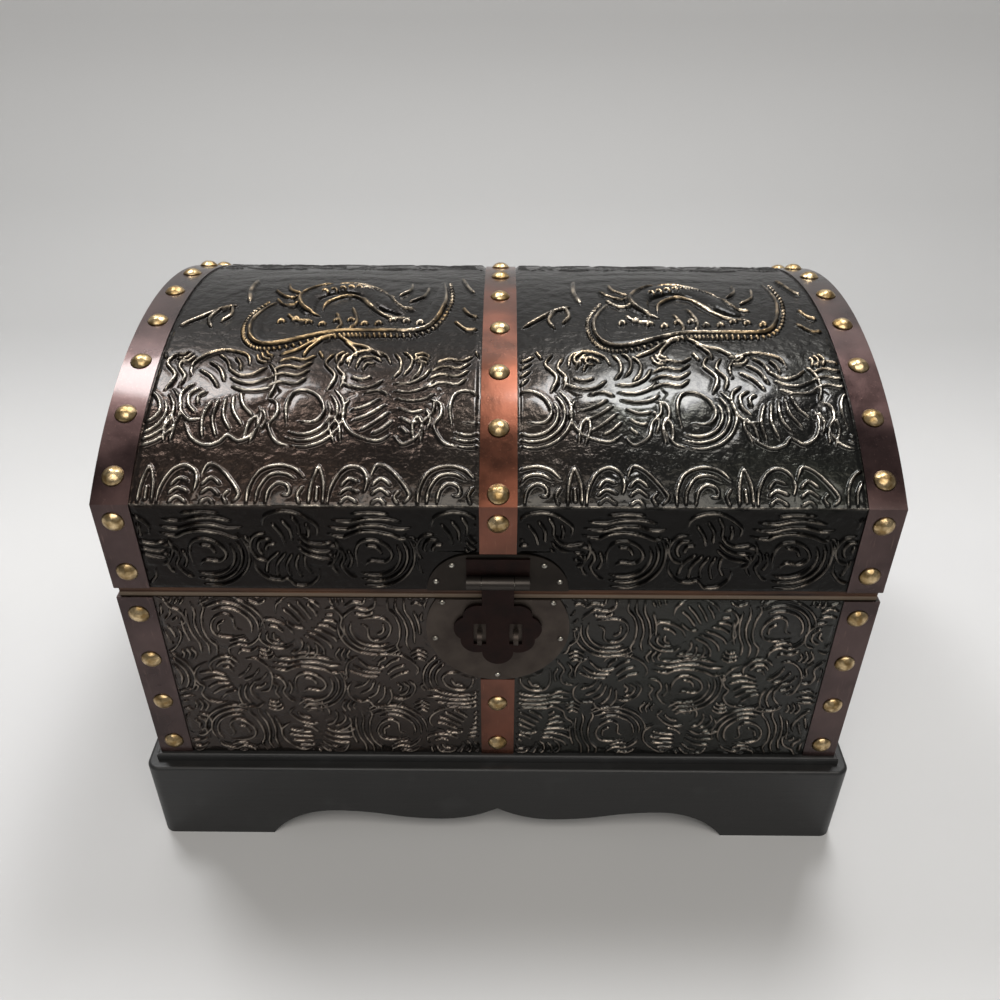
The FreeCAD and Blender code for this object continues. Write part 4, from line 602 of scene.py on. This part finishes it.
# The lid's sheet is one blank, folded down at both creases over the bent dome board. Twin petals and arches
# stand on the creases, peonies above them, and a dragon lies over each half of the crown.
skirt_low = corners("lid_left_sheet")[0][2]
crown_z = corners("lid_dome_board")[1][2] + SHEET
lid_half = corners("lid_folded_sheet")[1][0]
crease_z = 233.3
rise = crown_z - crease_z
radius = (rise ** 2 + half_depth ** 2) / (2 * rise)
centre_z = crown_z - radius
open_angle = math.asin(half_depth / radius)
arc = 2 * radius * open_angle
skirt = crease_z - skirt_low
upper_high = corners("latch_upper_plate")[1]


def dragon(field, shift):
    """Dragon in higher relief: a beaded lower coil, an arched back over it, claws, scales and clouds. Places
    are across from the middle of the blank and up from its front crease."""
    def at(points, steps=7):
        return smooth_line([(u + shift, v) for u, v in points], steps)

    # Swells: the arched back, the coil below it, and clouds.
    for points, wide, high in (
            ([(-103, 126), (-106, 142), (-95, 154), (-83, 156), (-72, 149), (-64, 137),
             (-54, 127)], 7.0, 3.2),
            ([(-124, 136), (-130, 114), (-122, 99), (-87, 107), (-66, 108), (-44, 111), (-33, 138),
             (-32, 168)], 5.0, 1.8),
            ([(-150, 170), (-112, 180), (-72, 179), (-28, 170)], 7.0, 0.7),
            ([(-142, 190), (-98, 197), (-46, 191)], 7.0, 0.6),
            ([(-152, 150), (-140, 160), (-124, 158)], 6.0, 0.8),
            ([(-54, 150), (-44, 160), (-26, 158)], 6.0, 0.8)):
        field.stroke(at(points), wide, high, True, 0.5)
    # The coil's outline, with beads along its lower side.
    coil = at([
        (-122, 138), (-131, 118), (-129, 101), (-117, 96), (-87, 106), (-66, 107), (-40, 110), (-30, 137),
        (-32, 167)], 9)
    field.stroke(coil, 1.4, 1.2)
    turn = np.gradient(coil, axis=0)
    turn /= np.linalg.norm(turn, axis=1)[:, None]
    for k in range(2, len(coil) - 2):
        out = np.array((turn[k][1], -turn[k][0]))
        field.stroke([coil[k] + 2.2 * out, coil[k] + 4.4 * out + 1.0 * turn[k]], 1.05, 1.1)
    # Outlines of the back, legs and claws, a tail, and wisps of cloud.
    for points, wide in (
            ([(-96, 122), (-106, 130), (-110, 142), (-104, 153), (-93, 163)], 1.7),
            ([(-93, 163), (-81, 164), (-68, 155), (-60, 143)], 1.2),
            ([(-60, 143), (-55, 133), (-46, 130)], 1.4),
            ([(-96, 128), (-94, 138), (-84, 146), (-76, 142), (-70, 133), (-60, 122), (-48, 121)], 1.7),
            ([(-86, 106), (-84, 114), (-88, 126)], 1.5), ([(-79, 107), (-76, 118), (-80, 132)], 1.5),
            ([(-85, 104), (-96, 99), (-104, 92), (-112, 88)], 1.7),
            ([(-84, 104), (-76, 97), (-68, 94), (-60, 87)], 1.7),
            ([(-80, 99), (-74, 92), (-73, 87)], 1.6), ([(-92, 101), (-98, 93), (-100, 87)], 1.5),
            ([(-143, 134), (-152, 129), (-160, 121), (-169, 112)], 1.9),
            ([(-151, 130), (-155, 120), (-152, 111)], 1.6),
            ([(-146, 134), (-144, 124), (-148, 116)], 1.6), ([(-139, 170), (-140, 154), (-137, 138)], 2.4),
            ([(-110, 148), (-117, 154), (-120, 164)], 1.4),
            ([(-111, 142), (-119, 145), (-126, 154)], 1.4), ([(-110, 135), (-117, 134), (-123, 142)], 1.3),
            ([(-100, 118), (-108, 118), (-114, 124)], 1.3), ([(-20, 132), (-16, 124), (-12, 122)], 1.5),
            ([(-24, 118), (-18, 110), (-12, 110)], 1.5),
            ([(-22, 176), (-18, 160), (-14, 150)], 1.6), ([(-50, 138), (-42, 146), (-40, 158)], 1.3),
            ([(-56, 146), (-50, 154), (-50, 164)], 1.3)):
        field.stroke(at(points), 0.8 * wide, 1.2)
    # Scales on the back, knobs between back and coil, and clouds behind the crown.
    for k in range(9):
        u, v = -99 + 4.6 * k, 141 + 8.5 * math.sin(math.pi * (k + 1) / 9)
        field.stroke(at([(u, v + 4), (u + 2.4, v + 5.6), (u + 3.6, v + 2.6)], 3), 0.9, 0.7)
    for k in range(11):
        u, v = -118 + 7.4 * k, 115 + 2.5 * math.sin(1.7 * k)
        field.stroke(at([(u, v), (u + 1.8, v + 3.4), (u + 3.6, v + 1.0)], 3), 1.4, 1.2)
    for k in range(5):
        u = 24 * k
        field.stroke(at([(u - 142, 206 + 4 * (k % 2)), (u - 130, 211), (u - 120, 205)], 5), 2.4, 0.9)


# Half heights of the motifs by the crease, in the peony row and between them, and their places up the blank.
CREASE_HALF, PEONY_HALF, PEONY_ARC, PEONY_SLIM = 10.5, 31.0, 61.0, 0.80
LEAF_HALF, LEAF_ARC, LEAF_SIDE = 8.0, 40, 21
TENDRIL_ARC, TENDRIL_SIDE = 86, 19
SKIRT_SHARE, ARCH_SIDE = 1.22, 3
PEONY_SHIFT = {-1: 4, 1: -6}
DRAGON_PITCH = 181.0


def press_lid(field):
    """The whole pattern of the folded sheet, up from the front crease and the same from the back one."""
    for side in (-1, 1):
        for over in (False, True):
            turn = 180 if over else 0
            hand = -1 if over else 1
            arcs = (CREASE_HALF, PEONY_ARC, -skirt / 2, LEAF_ARC, TENDRIL_ARC)
            crease, high, skirt_y, leaf_y, tendril_y = (arc - v if over else v for v in arcs)
            for rank in range(MOTIFS_ACROSS):
                x = side * (MOTIF_START + MOTIF_PITCH * rank)
                shifted = x + PEONY_SHIFT[side]
                if rank % 2:
                    bloom = (flower, peony)[rank // 2 % 2]
                    draw(field, twin_petal, x, crease, CREASE_HALF, turn, hand)
                    draw(field, scroll, x, skirt_y, motif_half * SKIRT_SHARE, turn, hand)
                    draw(field, bloom, shifted, high, PEONY_HALF, turn, hand, slim=PEONY_SLIM)
                else:
                    draw(field, arch, x - ARCH_SIDE * hand, crease, CREASE_HALF, turn, hand)
                    draw(field, peony, x, skirt_y, motif_half * SKIRT_SHARE, turn - 25, hand)
                    draw(field, tall_scroll, shifted, high, PEONY_HALF, turn, hand)
                draw(field, leaf, x + LEAF_SIDE * hand, leaf_y, LEAF_HALF, turn + 14 * (rank % 3 - 1))
                draw(field, tendril, x - TENDRIL_SIDE * hand, tendril_y, TENDRIL_HALF, turn + 70 * rank, hand)
    dragon(field, 0.0)
    dragon(field, DRAGON_PITCH)


FOLD = 1.2


def over_lid(field, offset):
    """Places on the folded lid for a grid over its blank, an offset out from its face."""
    v = field.up
    angle = np.clip(v, 0, arc) / radius - open_angle
    front = np.clip((v + FOLD) / (2 * FOLD), 0, 1)
    back = np.clip((v - arc + FOLD) / (2 * FOLD), 0, 1)
    lean = -math.pi / 2 + front * (angle + math.pi / 2) + back * (math.pi / 2 - angle)
    y = radius * np.sin(angle)
    z = centre_z + radius * np.cos(angle) + np.minimum(v, 0) - np.maximum(v - arc, 0)
    x = np.broadcast_to(field.across[None, :], v.shape)
    return np.stack([x, y + offset * np.sin(lean), z + offset * np.cos(lean)], 2)


FRONT_END, FAR_END = 24.0, 205.0
HINGE_LEAF, LID_FADE = 24, 1.6
# Behind the crown the lines are pressed lower. The sheet is made darker there and on the skirts.
LOW_ARCS, LOW_SHARES = (190, 200, 250, 262), (1.0, 0.3, 0.3, 1.0)
DULL_ARC, DULL_FADE, SKIRT_FADE = 185, 15, 2
lid_sheets = (
    ("lid_sheet_front_left", -lid_half, 0.0, -skirt, FRONT_END, FINE),
    ("lid_sheet_front_right", 0.0, lid_half, -skirt, FRONT_END, FINE),
    ("lid_sheet_dome_left", -lid_half, 0.0, FRONT_END, FAR_END, MEDIUM),
    ("lid_sheet_dome_right", 0.0, lid_half, FRONT_END, FAR_END, MEDIUM),
    ("lid_sheet_back_left", -lid_half, 0.0, FAR_END, arc + skirt, COARSE),
    ("lid_sheet_back_right", 0.0, lid_half, FAR_END, arc + skirt, COARSE),
)
for name, left, right, low, high, step in lid_sheets:
    field = Relief(bays(left, right, MEDIUM), span(low, high, step))
    ripples(field, 6)
    press_lid(field)
    field.ridges *= np.interp(field.up, LOW_ARCS, LOW_SHARES)
    out_from_middle = np.abs(field.across)[None, :]
    seam = np.minimum(np.abs(field.up), np.abs(field.up - arc))
    clear = np.minimum(field.up + skirt, arc + skirt - field.up)
    clear = np.minimum(clear, np.minimum(out_from_middle - middle_edge, corner_x - out_from_middle) - EDGE)
    plate = np.maximum(out_from_middle - upper_high[0], field.up - (upper_high[2] - crease_z)) - EDGE
    beside = np.abs(out_from_middle - hinge_high[0] + HINGE_WIDTH / 2) - HINGE_WIDTH / 2
    hinge = np.maximum(beside, arc + skirt - HINGE_LEAF - field.up) - EDGE
    field.finish(np.minimum(np.minimum(clear, seam), np.minimum(plate, hinge)), LID_FADE)
    outside = over_lid(field, field.swell + field.ridges)
    back = over_lid(field, -SHEET)
    # Painted highlight: a bright line along both creases, coloured like a rubbed ridge with no ridge under
    # it.
    field.ridges = np.maximum(field.ridges, RIB * np.clip(1 - seam ** 2, 0, 1))
    field.tint_share = np.clip(np.maximum(-field.up / SKIRT_FADE, (field.up - DULL_ARC) / DULL_FADE), 0, 1)
    press(name, field, outside, back[:, 0], back[:, -1], "lid", "lid_folded_sheet")

# Arched sheets close the ends of the lid, with two rows of motifs inside a plain border for the straps.
END_STEPS, LID_END_ROWS, END_BORDER = 96, 2, 19
lid_end_sheets = (
    ("lid_sheet_left", (0, -1, 0), "lid_left_sheet"),
    ("lid_sheet_right", (0, 1, 0), "lid_right_sheet"),
)
for name, way, cad_node in lid_end_sheets:
    across = span(-half_depth, half_depth, COARSE)
    top = centre_z + np.sqrt(radius ** 2 - across ** 2)
    field = Relief(across, skirt_low + np.linspace(0, 1, END_STEPS)[:, None] * (top - skirt_low)[None, :])
    ripples(field, 7)
    press_rows(field, end_columns, skirt_low, row_pitch, LID_END_ROWS, motif_half)
    under_arch = radius - END_BORDER - np.hypot(field.across[None, :], field.up - centre_z)
    beside = (corner_y - EDGE - np.abs(field.across))[None, :]
    field.finish(np.minimum(np.minimum(beside, under_arch), field.up - skirt_low))
    flat_sheet(name, field, half_width, way, "lid", cad_node)

# Copper straps, rolled thin and nailed over the sheets. The one in the middle is reddish, those at the edges
# and corners have gone a dark purplish brown.


def copper(name, dark, light, streak_highlight):
    """Rolled copper under old lacquer: stains of 26 mm, shallow dents, fine streaks along it of painted
    highlight.
    """
    made, tree, where = blank(name)
    stain = noise(tree, where, 26, 4.0)
    dents = noise(tree, where, 7, 2.0)
    drawn = node(tree, "ShaderNodeMapping", {"Vector": where, "Scale": (1.0, 1.0, 1 / 9)})
    streak = noise(tree, drawn, 1.1, 3.0)
    share = ramp(tree, stain, 0.34, 0.66)
    shade = mix(tree, share, dark, light)
    # Painted highlight: the streaks are mixed towards a lighter colour.
    share = ramp(tree, streak, 0.62, 0.80, last=0.5)
    shade = mix(tree, share, shade, streak_highlight)
    gloss = ramp(tree, stain, 0.3, 0.7, 0.24, 0.40)
    bumps = bump(tree, dents, 0.00010)
    bumps = bump(tree, streak, 0.00003, bumps)
    surface(tree, {
        "Base Color": shade, "Metallic": 1.0, "Roughness": gloss, "Coat Weight": 0.5, "Coat Roughness": 0.12,
        "Normal": bumps})
    return made


dress(
    copper("tarnished copper strap", "#332423", "#4d3b39", "#715952"),
    "box_front_left_strap", "box_front_right_strap", "box_back_left_strap", "box_back_right_strap",
    "lid_left_strap", "lid_right_strap")
dress(
    copper("reddish copper strap", "#4d2d20", "#744534", "#96664f"),
    "box_front_middle_strap", "box_back_middle_strap", "lid_middle_strap")

# Domed nails of antique brass, each with a hammered head, hold the straps. Brads hold the latch plates and
# screws the hinges. Each kind is one head set on the places of its CAD fasteners.


def hammered_head(name, head_radius, rise, rings, sides, dent):
    """Head with its seat at the origin and its top along +Z, slightly uneven as if hammered."""
    rng = np.random.default_rng(11)
    dome = (head_radius ** 2 + rise ** 2) / (2 * rise)
    shape = bmesh.new()
    rows = []
    for k in range(rings):
        r = head_radius * (1 - (k / rings) ** 1.4)
        z = math.sqrt(dome ** 2 - r ** 2) - dome + rise
        row = []
        for i in range(sides):
            turn = 2 * math.pi * i / sides
            wobble = 1 - dent * rng.uniform(0, 1) * (k > 0)
            row.append(shape.verts.new((r * math.cos(turn), r * math.sin(turn), z * wobble)))
        rows.append(row)
    top = shape.verts.new((0, 0, rise * (1 - dent)))
    for lower, upper in zip(rows[:-1], rows[1:]):
        for i in range(sides):
            j = (i + 1) % sides
            shape.faces.new((lower[i], lower[j], upper[j], upper[i]))
    for i in range(sides):
        shape.faces.new((rows[-1][i], rows[-1][(i + 1) % sides], top))
    shape.faces.new(rows[0][::-1])
    mesh = bpy.data.meshes.new(name)
    shape.to_mesh(mesh)
    shape.free()
    mesh.transform(Matrix.Scale(0.001, 4))
    mesh.shade_smooth()
    return mesh


def seats_of(cad_node):
    """Seat and outward direction of each fastener of a CAD node, read from its own mesh."""
    shape = bmesh.new()
    shape.from_mesh(nodes[cad_node].data)
    bmesh.ops.remove_doubles(shape, verts=shape.verts, dist=1e-6)
    # A dict keeps the order of the mesh, so every run turns the same head the same way.
    left = dict.fromkeys(shape.verts)
    found = []
    while left:
        island, queue = [], [left.popitem()[0]]
        while queue:
            vert = queue.pop()
            island.append(vert.co)
            for edge in vert.link_edges:
                other = edge.other_vert(vert)
                if other in left:
                    del left[other]
                    queue.append(other)
        points = np.array(island)
        middle_point = points.mean(0)
        values, axes = np.linalg.eigh(np.cov((points - middle_point).T))
        axis = axes[:, 0] if values[1] - values[0] > values[2] - values[1] else axes[:, 2]
        along = (points - middle_point) @ axis
        away = np.linalg.norm(points - middle_point - along[:, None] * axis, axis=1)
        rim = along[away > 0.98 * away.max()].mean()
        if rim < along.mean():
            axis, along, rim = -axis, -along, -rim
        if abs(along.min() - rim) < abs(along.max() - rim):
            axis, rim = -axis, -rim
        found.append((middle_point + rim * axis, axis))
    shape.free()
    return found


fastener_tree = bpy.data.node_groups.new("fasteners on their seats", "GeometryNodeTree")
tree = fastener_tree
fastener_inputs = (
    ("Seats", "NodeSocketGeometry"), ("Head", "NodeSocketObject"), ("Metal", "NodeSocketMaterial"))
for label, kind in fastener_inputs:
    tree.interface.new_socket(label, in_out="INPUT", socket_type=kind)
tree.interface.new_socket("Fasteners", in_out="OUTPUT", socket_type="NodeSocketGeometry")
given = tree.nodes.new("NodeGroupInput").outputs
head = node(tree, "GeometryNodeObjectInfo", {"Object": given["Head"]}, "Geometry")
outwards = node(tree, "GeometryNodeInputNamedAttribute", {"Name": "outwards"}, data_type="FLOAT_VECTOR")
turn = node(tree, "FunctionNodeAlignRotationToVector", {"Vector": outwards}, axis="Z")
spin = node(tree, "FunctionNodeRandomValue", {2: 0.0, 3: 2 * math.pi, "Seed": 4}, 1, data_type="FLOAT")
about = node(tree, "FunctionNodeAxisAngleToRotation", {"Axis": (0, 0, 1), "Angle": spin})
both = node(tree, "FunctionNodeRotateRotation", {
    "Rotation": turn, "Rotate By": about}, rotation_space="LOCAL")
seats = node(tree, "GeometryNodeMeshToPoints", {"Mesh": given["Seats"]})
placed = node(tree, "GeometryNodeInstanceOnPoints", {"Points": seats, "Instance": head, "Rotation": both})
solid = node(tree, "GeometryNodeRealizeInstances", {"Geometry": placed})
done = node(tree, "GeometryNodeSetMaterial", {"Geometry": solid, "Material": given["Metal"]})
node(tree, "NodeGroupOutput", {"Fasteners": done})


def set_fasteners(name, cad_node, head_mesh, metal, body):
    """Fasteners of a CAD node, one head on each seat."""
    seats = seats_of(cad_node)
    mesh = bpy.data.meshes.new(name + "_seats")
    mesh.from_pydata([list(seat) for seat, axis in seats], [], [])
    outwards = mesh.attributes.new("outwards", "FLOAT_VECTOR", "POINT")
    outwards.data.foreach_set("vector", np.array([axis for seat, axis in seats], np.float32).ravel())
    carrier = bpy.data.objects.new(name + "_carrier", mesh)
    head = bpy.data.objects.new(name + "_head", head_mesh)
    for item in (carrier, head):
        bpy.context.scene.collection.objects.link(item)
    modifier = carrier.modifiers.new("setting", "NODES")
    modifier.node_group = fastener_tree
    sockets = {item.name: item.identifier for item in fastener_tree.interface.items_tree}
    modifier[sockets["Head"]] = head
    modifier[sockets["Metal"]] = metal
    bpy.context.view_layer.update()
    graph = bpy.context.evaluated_depsgraph_get()
    made = bpy.data.objects.new(name, bpy.data.meshes.new_from_object(carrier.evaluated_get(graph)))
    made.data.name = name
    bpy.context.scene.collection.objects.link(made)
    for item in (carrier, head):
        bpy.data.objects.remove(item)
    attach(made, body)
    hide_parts(cad_node)


# Hammered brass: small facets of 2.6 mm, bright on top and brown where tarnish stays.
brass, tree, where = blank("hammered antique brass")
tint_share = noise(tree, where, 5, 4.0)
facet = node(tree, "ShaderNodeTexVoronoi", {"Vector": where, "Scale": 1000 / 2.6}, "Distance")
share = ramp(tree, tint_share, 0.40, 0.66)
shade = mix(tree, share, "#8d744c", "#dac298")
share = ramp(tree, facet, 0.55, 0.95, last=0.6)
shade = mix(tree, share, shade, "#5a4a30")
gloss = ramp(tree, tint_share, 0.3, 0.7, 0.42, 0.24)
bumps = bump(tree, facet, 0.00022)
surface(tree, {"Base Color": shade, "Metallic": 1.0, "Roughness": gloss, "Normal": bumps})
nail_head = hammered_head("nail_head", head_radius=5.5, rise=3.2, rings=5, sides=16, dent=0.07)
set_fasteners("box_nails", "box_strap_nails", nail_head, brass, "trunk")
set_fasteners("lid_nails", "lid_strap_nails", nail_head, brass, "lid")

# Drawn steel, left bright: grey with light scuffs of 1.5 mm.
steel, tree, where = blank("plain steel brads and screws")
scuff = noise(tree, where, 1.5, 3.0)
share = ramp(tree, scuff, 0.40, 0.65)
shade = mix(tree, share, "#6f6a62", "#c9c5bb")
gloss = ramp(tree, scuff, 0.3, 0.7, 0.40, 0.25)
bumps = bump(tree, scuff, 0.00004)
surface(tree, {"Base Color": shade, "Metallic": 1.0, "Roughness": gloss, "Normal": bumps})
brad_head = hammered_head("brad_head", head_radius=1.6, rise=1.1, rings=4, sides=12, dent=0.02)
screw_head = hammered_head("screw_head", head_radius=2.4, rise=0.7, rings=4, sides=16, dent=0.02)
set_fasteners("lower_brads", "latch_lower_brads", brad_head, steel, "trunk")
set_fasteners("upper_brads", "latch_upper_brads", brad_head, steel, "lid")
set_fasteners("box_hinge_screws", "hinge_box_screws", screw_head, steel, "trunk")
set_fasteners("lid_hinge_screws", "hinge_lid_screws", screw_head, steel, "lid")
dress(steel, "hinge_pins", "latch_pin")

# The latch: a bronze plate in two parts, dull below and blackened above, padlock eyes of the same metal, and
# a dark oxidised leaf and hasp that turn on a steel pin. The hinges on the back are of the hasp's iron.
PIN_Y, PIN_Z = -0.1412, 0.1903
KNUCKLE, KNUCKLE_FADE = 0.0032, 0.0004


def bronze(name, dark, light):
    """Sheet bronze gone dull: stains of 14 mm and upright scratches."""
    made, tree, where = blank(name)
    stain = noise(tree, where, 14, 4.0)
    drawn = node(tree, "ShaderNodeMapping", {"Vector": where, "Scale": (1.0, 1.0, 1 / 10)})
    scratch = noise(tree, drawn, 0.8, 2.0)
    share = ramp(tree, stain, 0.35, 0.68)
    shade = mix(tree, share, dark, light)
    gloss = ramp(tree, stain, 0.3, 0.7, 0.45, 0.58)
    bumps = bump(tree, scratch, 0.00003)
    surface(tree, {"Base Color": shade, "Metallic": 0.9, "Roughness": gloss, "Normal": bumps})
    return made


dress(bronze("dull bronze plate", "#3b3430", "#524a44"), "latch_lower_plate", "padlock_eyes")
dress(bronze("blackened bronze plate", "#26221f", "#332e2a"), "latch_upper_plate")

# Iron browned by heat and oil: almost black, satin, with pits of 1 mm, and rubbed grey on the knuckles round
# the latch pin.
oxide, tree, where = blank("dark brown oxidised iron")
stain = noise(tree, where, 9, 4.0)
pit = noise(tree, where, 1.0, 2.0)
share = ramp(tree, stain, 0.35, 0.68)
shade = mix(tree, share, "#170d0b", "#241512")
gloss = ramp(tree, stain, 0.3, 0.7, 0.36, 0.50)
round_pin = node(tree, "ShaderNodeMapping", {
    "Vector": where, "Location": (0, -PIN_Y, -PIN_Z), "Scale": (0, 1, 1)})
round_pin = node(tree, "ShaderNodeVectorMath", {0: round_pin}, "Value", operation="LENGTH")
share = ramp(tree, round_pin, KNUCKLE + KNUCKLE_FADE, KNUCKLE)
shade = mix(tree, share, shade, "#3a3633")
bumps = bump(tree, pit, 0.00005)
surface(tree, {"Base Color": shade, "Metallic": 0.85, "Roughness": gloss, "Normal": bumps})
dress(oxide, "cloud_hasp", "latch_leaf", "hinge_box_leaves", "hinge_lid_leaves")

# Photo stage: a white table that sweeps up into a pale backdrop, two soft lamps over the back of the trunk
# for the glints on the dome, and a broad one from the front that fills the shadows.
# Smooth white board, matt, in places a shade darker; on the backdrop, painted shade low down and painted
# light above.
WALL_FROM, WALL_TO = 0.15, 0.55
GREY_TO, PALE_FROM = 0.10, 0.75
paper, tree, where = blank("white table")
tone = noise(tree, where, 400, 2.0)
share = ramp(tree, tone, 0.3, 0.7)
shade = mix(tree, share, "#bebebf", "#c5c5c5")
behind = node(tree, "ShaderNodeSeparateXYZ", {"Vector": where}, "Y")
share = ramp(tree, behind, WALL_FROM, WALL_TO)
height = node(tree, "ShaderNodeSeparateXYZ", {"Vector": where}, "Z")
# Painted shade and light: the backdrop is greyer low down and paler higher up.
backdrop_shading = ramp(tree, height, GREY_TO, PALE_FROM)
wall = mix(tree, backdrop_shading, "#a6a6a6", "#dadada")
shade = mix(tree, share, shade, wall)
surface(tree, {"Base Color": shade, "Roughness": 0.6, "Specular IOR Level": 0.3})
SWEEP, SWEEP_START = 0.30, 0.50
TABLE_FRONT, TABLE_HALF, WALL_HEIGHT = -3.0, 3.5, 3.0
sweep = [(TABLE_FRONT, 0.0), (SWEEP_START, 0.0)]
sweep += [
    (SWEEP_START + SWEEP * math.sin(a), SWEEP * (1 - math.cos(a)))
    for a in np.linspace(0, math.pi / 2, 13)[1:]]
sweep.append((SWEEP_START + SWEEP, WALL_HEIGHT))
mesh = bpy.data.meshes.new("table")
mesh.from_pydata(
    [(x, y, z) for y, z in sweep for x in (-TABLE_HALF, TABLE_HALF)], [],
    [(2 * k, 2 * k + 1, 2 * k + 3, 2 * k + 2) for k in range(len(sweep) - 1)])
mesh.shade_smooth()
mesh.materials.append(paper)
table = bpy.data.objects.new("table", mesh)
bpy.context.scene.collection.objects.link(table)
table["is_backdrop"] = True


def lamp(name, place, target, size, power, colour="#ffffff"):
    """Soft rectangular lamp, turned to a target; its power is in watts."""
    light = bpy.data.lights.new(name, "AREA")
    light.shape = "RECTANGLE"
    light.size, light.size_y = size
    light.energy = power
    light.color = linear(colour)[:3]
    made = bpy.data.objects.new(name, light)
    made.location = place
    made.rotation_euler = (Vector(target) - Vector(place)).to_track_quat("-Z", "Y").to_euler()
    bpy.context.scene.collection.objects.link(made)
    made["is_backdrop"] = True


lamp("ceiling_right", place=(0.31, 0.52, 1.72), target=(0, 0, 0.2), size=(0.38, 0.52), power=18)
lamp("ceiling_left", place=(-0.64, 0.52, 1.66), target=(0, 0, 0.2), size=(0.36, 0.48), power=13)
lamp(
    "room_front", place=(0.1, -1.7, 2.3), target=(0, -0.6, 0.0), size=(2.4, 1.6), power=46,
    colour="#fffaf2")

world = bpy.data.worlds.new("room")
world.use_nodes = True
world.node_tree.nodes["Background"].inputs["Color"].default_value = linear("#d9dadc")
world.node_tree.nodes["Background"].inputs["Strength"].default_value = 0.27
bpy.context.scene.world = world
bpy.context.scene.view_settings.view_transform = "Standard"

# The camera looks down at the trunk from the front, about 0.6 m from its middle, as fitted to the photograph.
# Its place is in millimetres and its pitch, yaw and roll are in degrees.
EYE_PLACE, EYE_TURN = (2.054, -505.476, 496.073), (35.08, -0.191, 0.247)
camera = bpy.data.cameras.new("camera")
camera.sensor_width = 36.0
camera.lens = 34.911
eye = bpy.data.objects.new("camera", camera)
bpy.context.scene.collection.objects.link(eye)
pitch, yaw, roll = (math.radians(a) for a in EYE_TURN)
ahead = Vector((math.sin(yaw) * math.cos(pitch), math.cos(yaw) * math.cos(pitch), -math.sin(pitch)))
side = ahead.cross(Vector((0, 0, 1))).normalized()
top = side.cross(ahead)
side, top = side * math.cos(roll) + top * math.sin(roll), top * math.cos(roll) - side * math.sin(roll)
turn = Matrix((side, top, -ahead)).transposed()
eye.matrix_world = Matrix.Translation(Vector(EYE_PLACE) * 0.001) @ turn.to_4x4()
bpy.context.scene.camera = eye

low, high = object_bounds()
